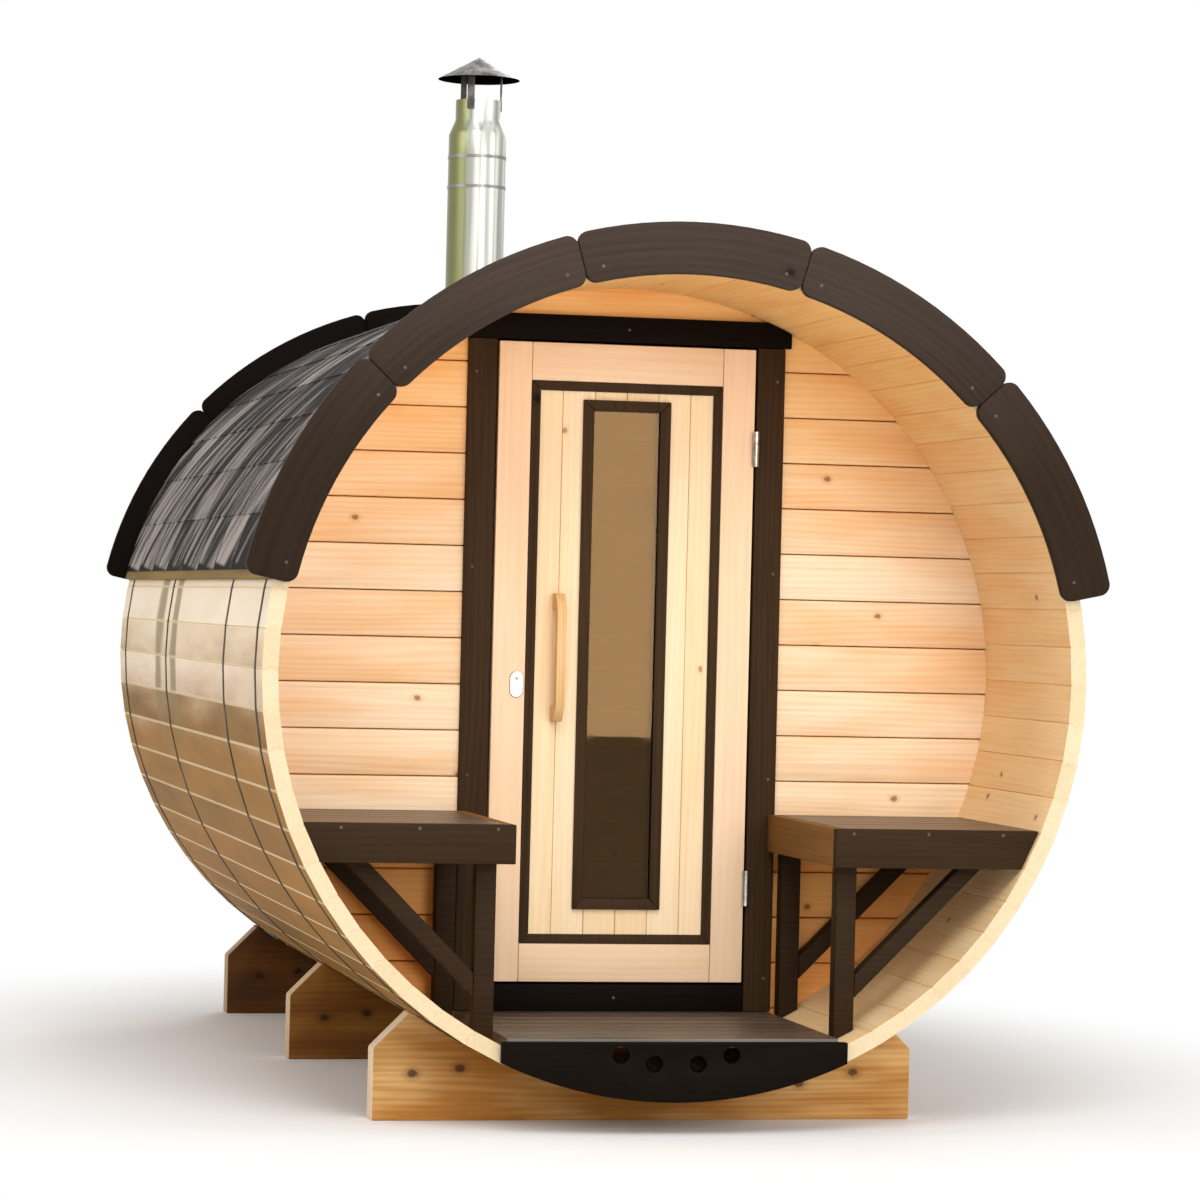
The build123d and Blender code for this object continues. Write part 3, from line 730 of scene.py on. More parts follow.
def deselect() -> None:
    """Leaves nothing selected, in object mode."""
    if bpy.context.mode != "OBJECT":
        bpy.ops.object.mode_set(mode="OBJECT")
    bpy.ops.object.select_all(action="DESELECT")


def take(piece: Object) -> None:
    """Makes one object the only selected and the active one.

    Args:
        piece: the object.
    """
    deselect()
    piece.select_set(True)
    bpy.context.view_layer.objects.active = piece


def pick(piece: Object, kind: str, chosen: Callable[..., bool]) -> None:
    """Enters edit mode with only some edges or faces of an object selected.

    Args:
        piece: object that is edited.
        kind: EDGE or FACE.
        chosen: says whether an edge or a face is selected.
    """
    take(piece)
    bpy.ops.object.mode_set(mode="EDIT")
    bpy.ops.mesh.select_mode(type=kind)
    bpy.ops.mesh.select_all(action="DESELECT")
    bpy.ops.object.mode_set(mode="OBJECT")
    for element in piece.data.edges if kind == "EDGE" else piece.data.polygons:
        element.select = chosen(element)
    bpy.ops.object.mode_set(mode="EDIT")


def named(piece: Object, name: str) -> Object:
    """Gives an object and its mesh their name.

    Args:
        piece: the object.
        name: name of both.

    Returns:
        The same object.
    """
    piece.name = name
    piece.data.name = name
    return piece


def twin(piece: Object) -> Object:
    """Copies an object.

    Args:
        piece: the pattern.

    Returns:
        The copy, with a mesh of its own.
    """
    copy = piece.copy()
    copy.data = piece.data.copy()
    bpy.context.scene.collection.objects.link(copy)
    return copy


def apply_modifier(piece: Object, kind: str, **settings) -> None:
    """Adds a modifier to an object and applies it.

    Args:
        piece: object that gets the modifier.
        kind: modifier type.
        settings: properties of the modifier.
    """
    take(piece)
    modifier = piece.modifiers.new(kind.lower(), kind)
    for name, value in settings.items():
        setattr(modifier, name, value)
    bpy.ops.object.modifier_apply(modifier=modifier.name)


def repeat(piece: Object, count: int, step: Vector) -> None:
    """Repeats an object's mesh in a row.

    Args:
        piece: object that is repeated.
        count: how many there are in the row.
        step: from one to the next, in metres.
    """
    apply_modifier(piece, "ARRAY", count=count, use_relative_offset=False, use_constant_offset=True,
                   constant_offset_displace=step)


def node_copy(frame: dict, node: str, name: str) -> Object:
    """Copies a CAD node's mesh into a new object with whole faces.

    Args:
        node: name of the node.
        name: name of the new object.

    Returns:
        The new object, with its doubles merged and its flat faces whole.
    """
    mesh = frame["nodes"][node].data.copy()
    mesh.materials.clear()
    piece = named(bpy.data.objects.new(name, mesh), name)
    bpy.context.scene.collection.objects.link(piece)
    take(piece)
    if mesh.has_custom_normals:
        bpy.ops.mesh.customdata_custom_splitnormals_clear()
    bpy.ops.object.mode_set(mode="EDIT")
    bpy.ops.mesh.select_all(action="SELECT")
    bpy.ops.mesh.remove_doubles(threshold=0.01 * MM)
    bpy.ops.mesh.dissolve_limited(angle_limit=math.radians(0.5))
    bpy.ops.object.mode_set(mode="OBJECT")
    return piece


def join(pieces: list[Object], name: str) -> Object:
    """Joins objects into the first one.

    Args:
        pieces: the objects.
        name: name of the joined object and its mesh.

    Returns:
        The joined object.
    """
    take(pieces[0])
    for piece in pieces:
        piece.select_set(True)
    bpy.ops.object.join()
    return named(pieces[0], name)


def smooth(piece: Object, angle: float = 35.0) -> None:
    """Shades an object smooth, except over edges sharper than an angle in degrees."""
    take(piece)
    bpy.ops.object.shade_smooth_by_angle(angle=math.radians(angle))


def dress(piece: Object, material: Material, slot: str, body: str, *nodes: str) -> None:
    """Gives a finished piece its finish and its body, and hides the nodes that it stands for.

    Args:
        piece: finished object.
        material: its finish.
        slot: not used.
        body: body that it rides on.
        nodes: CAD nodes that it replaces.
    """
    piece.data.materials.clear()
    piece.data.materials.append(material)
    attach(piece, body)
    if nodes:
        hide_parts(*nodes)
    LOG.info("%s: %d faces", piece.name, len(piece.data.polygons))


def solids(piece: Object) -> list[Object]:
    """Takes an object apart.

    Args:
        piece: object of several solids.

    Returns:
        One object for each solid, the widest along X first.
    """
    take(piece)
    bpy.ops.object.mode_set(mode="EDIT")
    bpy.ops.mesh.select_all(action="SELECT")
    bpy.ops.mesh.separate(type="LOOSE")
    bpy.ops.object.mode_set(mode="OBJECT")
    return sorted(bpy.context.selected_objects, key=lambda solid: -solid.dimensions.x)


def ease(piece: Object, edge_mm: float, skin_mm: float = 0.6) -> None:
    """Rounds the edges of a timber a little, as planed boards have them.

    Args:
        piece: the timber.
        edge_mm: size of the round.
        skin_mm: how much its faces draw back.
    """
    apply_modifier(piece, "DISPLACE", strength=-skin_mm * MM, mid_level=0.0)
    apply_modifier(piece, "BEVEL", width=edge_mm * MM, segments=2, limit_method="ANGLE",
                   angle_limit=math.radians(40))
    smooth(piece)


class Across(Enum):
    """Axis along which boards run or follow each other."""

    X = 0
    Y = 1
    Z = 2


@dataclass
class Boarding:
    """A CAD panel divided into boards with V joints, cut to the panel's own outline."""

    node: str
    slot: str
    grain: Across
    stack: Across
    board_mm: float
    origin_mm: float
    gap_mm: float = 1.0
    joint_mm: float = 3.5
    skin_mm: float = 0.15
    overrun_mm: float = 100.0
    body: str = BODY

    def build(self, frame: dict, material: Material) -> None:
        """Cuts the boards and dresses them.

        Args:
            material: finish of the boards.
        """
        low, high = (Vector(corner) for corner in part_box(self.node))
        stack, grain = self.stack.value, self.grain.value
        face = 3 - stack - grain
        first = math.floor((low[stack] / MM - self.origin_mm) / self.board_mm)
        last = math.ceil((high[stack] / MM - self.origin_mm) / self.board_mm)
        size, middle = high - low, (low + high) / 2
        size[grain] += self.overrun_mm * MM
        size[face] -= 2 * self.skin_mm * MM
        size[stack] = (self.board_mm - self.gap_mm) * MM
        middle[stack] = (self.origin_mm + (first + 0.5) * self.board_mm) * MM
        boards = self.plank(size, middle, grain)
        step = Vector()
        step[stack] = self.board_mm * MM
        repeat(boards, last - first, step)
        outline = self.outline(frame)
        apply_modifier(boards, "BOOLEAN", operation="INTERSECT", solver="EXACT", object=outline)
        bpy.data.objects.remove(outline)
        smooth(boards, 30.0)
        dress(boards, material, self.slot, self.body, self.node)

    def outline(self, frame: dict) -> Object:
        """Copies the panel that the boards are cut to."""
        return node_copy(frame, self.node, self.node + "_outline")

    def plank(self, size: Vector, middle: Vector, grain: int) -> Object:
        """Models one board with its long edges bevelled.

        Args:
            size: length of the board on each axis.
            middle: its middle.
            grain: axis of the long edges.

        Returns:
            The board.
        """
        deselect()
        bpy.ops.mesh.primitive_cube_add(size=1, location=middle, scale=size)
        plank = named(bpy.context.object, self.node + "_boards")
        bpy.ops.object.transform_apply(location=True, rotation=True, scale=True)
        ends = [corner.co[grain] for corner in plank.data.vertices]
        pick(plank, "EDGE", lambda edge: abs(ends[edge.vertices[0]] - ends[edge.vertices[1]]) > 0.001 * MM)
        bpy.ops.mesh.bevel(offset=self.joint_mm * MM, segments=2, affect="EDGES")
        bpy.ops.object.mode_set(mode="OBJECT")
        return plank


@dataclass
class SeatBoarding(Boarding):
    """Seat of a bench in boards, with the board at its side left whole."""

    edge_mm: float = 2.5

    def outline(self, frame: dict) -> Object:
        """Copies the seat alone.


        Returns:
            The seat without the board at its side.
        """
        slab, side = solids(super().outline(frame))
        bpy.data.objects.remove(side)
        return slab

    def side_board(self, frame: dict, material: Material) -> None:
        """Eases the board at the side of the seat.

        Args:
            material: finish of the board.
        """
        slab, side = solids(super().outline(frame))
        bpy.data.objects.remove(slab)
        ease(named(side, self.node + "_side"), self.edge_mm)
        dress(side, material, self.slot, self.body)


@dataclass
class ShingleRoof:
    """Courses of bitumen tabs over the curved sheathing, with a row of caps on the ridge.

    Lifts are heights over the sheathing, in thicknesses of a tab: of a tab's lower edge, of a cap's
    front edge, and how far the cap falls to its rear edge.
    """

    barrel: Barrel
    coursing: Coursing
    sheathing: float
    thick_mm: float = 1.8
    bends: int = 4
    cap_mm: float = 250.0
    cap_lap_mm: float = 12.0
    cap_half_deg: float = 7.5
    tab_lift: float = 1.6
    cap_lift: float = 3.0
    cap_fall: float = 1.2

    @classmethod
    def from_frame(cls, barrel: Barrel, coursing: Coursing) -> "ShingleRoof":
        """Reads the radius of the sheathing from its box."""
        return cls(barrel, coursing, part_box("roof_sheathing")[1][2] - barrel.axis_height)

    def strip(self, name: str, low_deg: float, turn_deg: float, ends_mm: tuple[float, float],
              lift: Callable[[float, float], float]) -> Object:
        """Models a strip of felt bent round the barrel.

        Args:
            name: the strip's name.
            low_deg: angle of its lower edge.
            turn_deg: angle that it covers from there up.
            ends_mm: its ends, behind the front of the barrel.
            lift: gives its lift from the shares of the way up and back.

        Returns:
            The strip, with its thickness.
        """
        deselect()
        bpy.ops.mesh.primitive_grid_add(x_subdivisions=self.bends, y_subdivisions=1, size=1)
        strip = named(bpy.context.object, name)
        for vertex in strip.data.vertices:
            up, back = vertex.co.x + 0.5, vertex.co.y + 0.5
            radius = self.sheathing + (lift(up, back) + 0.5) * self.thick_mm * MM
            depth = self.barrel.front + (ends_mm[0] + back * (ends_mm[1] - ends_mm[0])) * MM
            vertex.co = self.barrel.spot(radius, low_deg - up * turn_deg, depth)
        apply_modifier(strip, "SOLIDIFY", thickness=self.thick_mm * MM, offset=0)
        return strip

    def row(self, strip: Object, pitch_mm: float, shift_mm: float = 0.0,
            turn_deg: float = 0.0) -> Object:
        """Repeats a strip along the roof and cuts the row flush with both ends.

        Args:
            strip: the first one, at the front.
            pitch_mm: from one to the next.
            shift_mm: how far the row starts before the front.
            turn_deg: how far the row is turned up the roof.

        Returns:
            The row.
        """
        row = twin(strip)
        count = math.ceil((self.barrel.rear - self.barrel.front) / (pitch_mm * MM)) + 1
        repeat(row, count, Vector((0, pitch_mm * MM, 0)))
        pivot = Vector((0, 0, self.barrel.axis_height))
        row.data.transform(Matrix.Translation(pivot) @ Matrix.Rotation(math.radians(-turn_deg), 4, "Y")
                           @ Matrix.Translation(Vector((0, -shift_mm * MM, 0)) - pivot))
        take(row)
        bpy.ops.object.mode_set(mode="EDIT")
        for end, outward in ((self.barrel.front, -1), (self.barrel.rear, 1)):
            bpy.ops.mesh.select_all(action="SELECT")
            bpy.ops.mesh.bisect(plane_co=(0, end, 0), plane_no=(0, outward, 0), use_fill=True,
                                clear_outer=True)
        bpy.ops.object.mode_set(mode="OBJECT")
        return row

    def build(self, material: Material) -> None:
        """Lays the courses of both sides and the ridge as one object.

        Args:
            material: finish of the shingles.
        """
        plan = self.coursing
        course_deg = math.degrees(plan.course_mm * MM / self.barrel.radius)
        tab_deg = course_deg * (1 + plan.lap_mm / plan.course_mm)
        tab_ends = (plan.slit_mm / 2, plan.tab_mm - plan.slit_mm / 2)
        tab = self.strip("shingle_tab", plan.eave_deg, tab_deg, tab_ends,
                         lambda up, back: self.tab_lift * (1 - up))
        cap_ends = (0.0, self.cap_mm + self.cap_lap_mm)
        cap = self.strip("ridge_cap", self.cap_half_deg, 2 * self.cap_half_deg, cap_ends,
                         lambda up, back: self.cap_lift - self.cap_fall * back)
        count = math.ceil((plan.eave_deg - self.cap_half_deg) / course_deg)
        roof = join([self.row(tab, plan.tab_mm, plan.tab_mm * (number % 2) / 2, number * course_deg)
                     for number in range(count)], "roof_shingles")
        apply_modifier(roof, "MIRROR", use_axis=(True, False, False), use_mirror_merge=False)
        roof = join([roof, self.row(cap, self.cap_mm)], "roof_shingles")
        for pattern in (tab, cap):
            bpy.data.objects.remove(pattern)
        smooth(roof, 25.0)
        dress(roof, material, "roof_shingle", BODY)


@dataclass
class ScrewHeads:
    """Countersunk screw heads, all facing the front, as one object."""

    name: str
    body: str
    slot: str
    places: list[Vector]
    sides: int = 10
    radius_mm: float = 4.0
    height_mm: float = 1.2
    sunk_mm: float = 1.8
    rim_mm: tuple[float, float] = (0.6, 0.5)
    flat_mm: float = 1.5
    socket_mm: tuple[float, float] = (0.3, 0.8)

    def head(self) -> Object:
        """Models one head with a domed rim and a socket, facing -Y at the origin.

        Returns:
            The head.
        """
        deselect()
        bpy.ops.mesh.primitive_cylinder_add(vertices=self.sides, radius=self.radius_mm * MM,
                                            depth=2 * self.height_mm * MM, rotation=(math.pi / 2, 0, 0))
        head = named(bpy.context.object, self.name)
        bpy.ops.object.transform_apply(location=True, rotation=True, scale=True)
        pick(head, "FACE", lambda face: face.normal.y < -0.9)
        bpy.ops.mesh.inset(thickness=self.rim_mm[0] * MM, depth=self.rim_mm[1] * MM)
        bpy.ops.mesh.inset(thickness=self.flat_mm * MM, depth=0)
        bpy.ops.mesh.inset(thickness=self.socket_mm[0] * MM, depth=-self.socket_mm[1] * MM)
        bpy.ops.object.mode_set(mode="OBJECT")
        return head

    def build(self, material: Material) -> None:
        """Copies the head to every place and joins the copies.

        Args:
            material: finish of the heads.
        """
        head = self.head()
        copies = [twin(head) for _ in self.places]
        for copy, place in zip(copies, self.places):
            copy.data.transform(Matrix.Translation(place + Vector((0, self.sunk_mm * MM, 0))))
        bpy.data.objects.remove(head)
        heads = join(copies, self.name)
        smooth(heads, 40.0)
        dress(heads, material, self.slot, self.body)


@dataclass
class Studio:
    """Pale floor, white backdrop, soft lamps and the camera at the picture's viewing angle.

    A lamp has its place in metres and its power in watts.
    """

    barrel: Barrel
    camera_place: tuple[float, float, float] = (-2.3925, -11.262, 1.245)
    yaw_deg: float = 12.628
    pitch_deg: float = 0.068
    roll_deg: float = -1.385
    focal_px: float = 4264.0
    image_px: float = 1200.0
    sensor_mm: float = 36.0
    far_m: float = 200.0
    sky: float = 0.42
    floor_size: float = 80.0
    floor_grey: float = 0.95
    white_from: tuple[float, float] = (1.25, 1.75)
    white_fade: tuple[float, float] = (0.95, 1.9)
    lamp_size: float = 4.0
    lamps: tuple[tuple[str, tuple[float, float, float], float], ...] = (
        ("key_lamp", (-1.5, -7.0, 7.0), 340.0),
        ("front_lamp", (1.5, -9.5, 2.6), 300.0),
        ("right_lamp", (7.0, -3.0, 4.5), 110.0),
        ("left_lamp", (-7.0, -1.0, 5.0), 170.0),
        ("back_lamp", (3.0, 9.0, 6.0), 260.0),
    )

    def build(self) -> None:
        """Sets up the whole studio."""
        bpy.context.scene.view_settings.view_transform = "Standard"
        self.camera()
        self.world()
        self.floor()
        for name, place, power in self.lamps:
            self.lamp(name, Vector(place), power)

    def camera(self) -> None:
        """Places the camera by its angles and the focal length in pixels."""
        yaw, pitch, roll = (math.radians(angle) for angle in (self.yaw_deg, self.pitch_deg, self.roll_deg))
        forward = Vector((math.sin(yaw) * math.cos(pitch), math.cos(yaw) * math.cos(pitch), math.sin(pitch)))
        right = Vector((math.cos(yaw), -math.sin(yaw), 0))
        down = forward.cross(right)
        across = math.cos(roll) * right + math.sin(roll) * down
        below = math.cos(roll) * down - math.sin(roll) * right
        data = bpy.data.cameras.new("camera")
        data.sensor_width = self.sensor_mm
        data.lens = self.focal_px / self.image_px * self.sensor_mm
        data.clip_end = self.far_m
        camera = bpy.data.objects.new("camera", data)
        turn = Matrix((across, -below, -forward)).transposed().to_4x4()
        camera.matrix_world = Matrix.Translation(Vector(self.camera_place)) @ turn
        bpy.context.scene.collection.objects.link(camera)
        bpy.context.scene.camera = camera

    @staticmethod
    def seen(tree: NodeTree, *rays: str) -> Feed:
        """Adds the nodes that tell whether a ray is of one of some kinds.

        Args:
            tree: node tree of the world or the floor.
            rays: outputs of Light Path.

        Returns:
            1 for such a ray, 0 for others.
        """
        path = add(tree, "LightPath").outputs
        found = path[rays[0]]
        for ray in rays[1:]:
            found = add(tree, "Math", {0: found, 1: path[ray]}, operation="MAXIMUM")
        return found

    def world(self) -> None:
        """Lights from all round, and shows white to the camera, to metal and through glass."""
        world = bpy.data.worlds.new("studio")
        world.use_nodes = True
        tree = world.node_tree
        tree.nodes.clear()
        seen = self.seen(tree, "Is Camera Ray", "Is Glossy Ray", "Is Transmission Ray")
        level = add(tree, "MapRange", {"Value": seen, "To Min": self.sky, "To Max": 1.0})
        backdrop = add(tree, "Background", {"Color": (1, 1, 1, 1), "Strength": level})
        add(tree, "OutputWorld", {"Surface": backdrop})
        bpy.context.scene.world = world

    def floor(self) -> None:
        """Lays a pale floor that keeps the shadow and turns white away from the sauna's outline."""
        deselect()
        bpy.ops.mesh.primitive_plane_add(size=self.floor_size, location=(0, 0, 0))
        floor = named(bpy.context.object, "floor")
        material, tree = blank_material("pale_floor")
        place = add(tree, "TexCoord").outputs["Object"]
        shares = add(tree, "VectorMath", {0: place, 1: (1 / self.white_from[0], 1 / self.white_from[1], 0.0)},
                     operation="MULTIPLY")
        away = add(tree, "VectorMath", {0: shares}, operation="LENGTH").outputs["Value"]
        far = add(tree, "MapRange", {"Value": away, "From Min": self.white_fade[0],
                                     "From Max": self.white_fade[1]}, interpolation_type="SMOOTHSTEP")
        seen = self.seen(tree, "Is Camera Ray", "Is Glossy Ray")
        white = add(tree, "Math", {0: far, 1: seen}, operation="MULTIPLY")
        matt = add(tree, "BsdfDiffuse", {"Color": (*[self.floor_grey] * 3, 1)})
        bright = add(tree, "Emission", {"Color": (1, 1, 1, 1), "Strength": 1.0})
        surface = add(tree, "MixShader", {0: white, 1: matt, 2: bright})
        add(tree, "OutputMaterial", {"Surface": surface})
        floor.data.materials.append(material)

    def lamp(self, name: str, place: Vector, power: float) -> None:
        """Adds a soft square white lamp that faces the sauna.

        Args:
            name: the lamp's name.
            place: where it stands, in metres.
            power: its power in watts.
        """
        data = bpy.data.lights.new(name, "AREA")
        data.size = self.lamp_size
        data.energy = power
        lamp = bpy.data.objects.new(name, data)
        aim = Vector((0, self.barrel.front, self.barrel.axis_height)) - place
        lamp.matrix_world = Matrix.Translation(place) @ aim.to_track_quat("-Z", "Y").to_matrix().to_4x4()
        bpy.context.scene.collection.objects.link(lamp)


@dataclass
class Assembly:
    """Part of the sauna that dresses some of the CAD nodes."""

    frame: dict
    finishes: dict[str, Material]

    def finish(self, finish: str, *nodes: str) -> None:
        """Gives CAD nodes that stay their finish.

        Args:
            finish: name of the finish.
            nodes: names of the nodes.
        """
        for node in nodes:
            mesh = self.frame["nodes"][node].data
            mesh.materials.clear()
            mesh.materials.append(self.finishes[finish])
            LOG.info("%s: finish %s", node, finish)

    def plane(self, looks: dict[str, str], slot: str, body: str = BODY, edge_mm: float = 2.5) -> None:
        """Replaces CAD nodes with copies whose sawn edges are eased with a small round.

        Args:
            looks: the nodes, each with the name of its finish.
            slot: the record's material slot.
            body: body that they ride on.
            edge_mm: size of the round.
        """
        for node, finish in looks.items():
            piece = node_copy(self.frame, node, node + "_planed")
            ease(piece, edge_mm)
            dress(piece, self.finishes[finish], slot, body, node)


@dataclass
class Shell(Assembly):
    """Staves, hoops and cradles of the barrel."""

    groups: tuple[str, ...] = ("top", "upper_right", "lower_right", "bottom", "lower_left", "upper_left")
    hoops: tuple[str, ...] = ("front", "wall", "middle", "rear")
    cradle_edge_mm: float = 4.0

    def build(self) -> None:
        """Finishes the staves and hoops and eases the cradles."""
        self.finish("spruce_staves", *("staves_" + group for group in self.groups))
        self.finish("hoop_strap", *("hoop_" + place for place in self.hoops))
        self.plane({"cradle_front": "impregnated_pine", "cradle_middle": "damp_pine",
                    "cradle_rear": "wet_pine"}, "cradle_wood", edge_mm=self.cradle_edge_mm)


@dataclass
class Walls(Assembly):
    """End walls of level boards; the joints' heights are those of the picture."""

    board_mm: float = 115.0
    origin_mm: float = 810.0
    joint_mm: float = 5.0
    front_gap_mm: float = 2.2
    rear_gap_mm: float = 0.1

    def build(self) -> None:
        """Cuts every wall panel into boards."""
        for panel in ("left", "right", "over_door", "below_door"):
            self.board_up("front_wall_" + panel, self.front_gap_mm, "porch_wall_boards")
        self.board_up("rear_wall", self.rear_gap_mm, "rear_wall_boards")

    def board_up(self, node: str, gap_mm: float, finish: str) -> None:
        """Cuts one panel into boards.

        Args:
            node: the panel's node.
            gap_mm: gap between two boards.
            finish: name of the finish.
        """
        boarding = Boarding(node, "wall_wood", Across.X, Across.Z, self.board_mm, self.origin_mm, gap_mm,
                            self.joint_mm)
        boarding.build(self.frame, self.finishes[finish])


@dataclass
class Door(Assembly):
    """Frame, leaf, strips, glass and furniture of the door."""

    panel_board_mm: float = 82.0
    panel_origin_mm: float = -246.0
    panel_joint_mm: float = 2.5
    leaf_edge_mm: float = 2.5
    strip_edge_mm: float = 1.5
    handle_edge_mm: float = 2.0

    def build(self) -> None:
        """Eases the frame and the leaf, cuts the panel into boards and finishes the fittings."""
        self.plane({"door_jamb_left": "stained_frame", "door_jamb_right": "stained_frame",
                    "door_head": "blackened_rails", "door_threshold": "blackened_rails"}, "frame_wood")
        self.leaf()
        self.plane({"door_moulding": "stained_frame", "door_glazing_strips": "stained_frame"}, "strip_wood",
                   LEAF, self.strip_edge_mm)
        self.plane({"door_handle": "handle_wood"}, "handle_wood", LEAF, self.handle_edge_mm)
        panel = Boarding("door_panel", "door_wood", Across.Z, Across.X, self.panel_board_mm,
                         self.panel_origin_mm, joint_mm=self.panel_joint_mm, body=LEAF)
        panel.build(self.frame, self.finishes["door_boards"])
        self.finish("door_pane", "door_glass")
        self.finish("zinc_hardware", "door_lock_rose", "hinges_on_leaf", "hinges_on_jamb")

    def leaf(self) -> None:
        """Eases the leaf's frame, with the grain upright in its stiles and level in its rails."""
        node = "door_stiles_and_rails"
        timbers = solids(node_copy(self.frame, node, node + "_planed"))
        for timber in timbers:
            ease(timber, self.leaf_edge_mm)
        stiles = [timber for timber in timbers if timber.dimensions.z > timber.dimensions.x]
        rails = [timber for timber in timbers if timber not in stiles]
        dress(join(stiles, "door_stiles"), self.finishes["door_stiles"], "door_wood", LEAF, node)
        dress(join(rails, "door_rails"), self.finishes["door_rails"], "door_wood", LEAF)


@dataclass
class Porch(Assembly):
    """Floors, fascia and the two benches."""

    floor_board_mm: float = 95.0
    seat_board_mm: float = 91.1
    gap_mm: float = 4.0
    joint_mm: float = 2.0

    def build(self) -> None:
        """Cuts floors and seats into boards and eases the timbers."""
        for node in ("porch_floor", "cabin_floor"):
            floor = Boarding(node, "floor_wood", Across.X, Across.Y, self.floor_board_mm,
                             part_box(node)[0][1] / MM, self.gap_mm, self.joint_mm)
            floor.build(self.frame, self.finishes["stained_floor"])
        for side in ("left", "right"):
            node = f"bench_{side}_seat"
            seat = SeatBoarding(node, "dark_wood", Across.X, Across.Y, self.seat_board_mm,
                                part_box(node)[0][1] / MM, self.gap_mm, self.joint_mm)
            seat.build(self.frame, self.finishes["stained_seat"])
            seat.side_board(self.frame, self.finishes["stained_side"])
        timbers = {f"bench_{side}_{place}_frame": "stained_rails" for side in ("left", "right")
                   for place in ("front", "rear")}
        self.plane({**timbers, "porch_fascia": "blackened_rails"}, "dark_wood")


@dataclass
class Roof(Assembly):
    """Battens, sheathing, shingles and the trim boards of both ends."""

    barrel: Barrel
    coursing: Coursing
    panels: int = 5
    half_angle: float = 78.0
    screw_angle: float = 2.6
    screw_reach_mm: float = 985.0
    trim_edge_mm: float = 3.0

    def build(self) -> None:
        """Finishes the timbers and lays the shingles."""
        self.finish("rough_battens", "roof_battens")
        self.finish("mineral_shingle", "roof_sheathing")
        ShingleRoof.from_frame(self.barrel, self.coursing).build(self.finishes["mineral_shingle"])
        self.plane({"front_trim": "stained_trim", "rear_trim": "blackened_trim"}, "dark_wood",
                   edge_mm=self.trim_edge_mm)

    def screw_places(self) -> list[Vector]:
        """Places two screws in each front trim board.

        Returns:
            Places near the inner edge of the boards, at both their ends.
        """
        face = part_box("front_trim")[0][1]
        step = 2 * self.half_angle / self.panels
        angles = [place * step - self.half_angle + shift for place in range(self.panels)
                  for shift in (self.screw_angle, step - self.screw_angle)]
        return [self.barrel.spot(self.screw_reach_mm * MM, angle, face) for angle in angles]


@dataclass
class Chimney(Assembly):
    """Flue pipe, cap and flashing of stainless sheet."""

    smooth_deg: float = 28.0

    @staticmethod
    def seam_from() -> tuple[float, float, float]:
        """Gives the pipe's axis in X and Y, and the radius past which there are only its seams."""
        low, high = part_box("chimney_pipe")
        return (low[0] + high[0]) / 2, (low[1] + high[1]) / 2, (high[0] - low[0]) / 2 - MM

    def build(self) -> None:
        """Smooths the sheet metal and finishes it."""
        sheets = {"chimney_pipe": "stainless_flue", "chimney_cap": "sooted_cap",
                  "chimney_flashing": "stainless_flue"}
        for node, finish in sheets.items():
            piece = node_copy(self.frame, node, node + "_sheet")
            smooth(piece, self.smooth_deg)
            dress(piece, self.finishes[finish], "chimney_steel", BODY, node)


@dataclass
class Fixings:
    """Screws that show on the frame, the benches and the trim."""

    apron_insets_mm: tuple[float, ...] = (44.0, 230.0, 416.0)
    apron_drop_mm: float = 11.0
    jamb_inset_mm: float = 20.0
    jamb_shares: tuple[float, ...] = (0.05, 0.35, 0.66, 0.95)

    def build(self, trim_places: list[Vector], material: Material) -> None:
        """Sets the screw heads.

        Args:
            trim_places: screws of the trim boards.
            material: their finish.
        """
        groups = {"trim": trim_places, "frame": self.frame_places(), "bench": self.bench_places()}
        for group, places in groups.items():
            ScrewHeads(group + "_screws", BODY, "hinge_steel", places).build(material)

    def frame_places(self) -> list[Vector]:
        """Places the screws of the door frame.

        Returns:
            Places on the jambs, the head and the threshold.
        """
        places = []
        for side in ("left", "right"):
            low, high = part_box("door_jamb_" + side)
            middle = low[0] + self.jamb_inset_mm * MM if side == "left" else high[0] - self.jamb_inset_mm * MM
            places += [Vector((middle, low[1], low[2] + share * (high[2] - low[2])))
                       for share in self.jamb_shares]
        for node in ("door_head", "door_threshold"):
            low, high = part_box(node)
            places.append(Vector(((low[0] + high[0]) / 2, low[1], (low[2] + high[2]) / 2)))
        return places

    def bench_places(self) -> list[Vector]:
        """Places the screws of the benches.

        Returns:
            Places along the top of both aprons, from their inner ends.
        """
        places = []
        for side, inner, outward in (("left", 1, -1), ("right", 0, 1)):
            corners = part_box(f"bench_{side}_front_frame")
            height = corners[1][2] - self.apron_drop_mm * MM
            places += [Vector((corners[inner][0] + outward * inset * MM, corners[0][1], height))
                       for inset in self.apron_insets_mm]
        return places


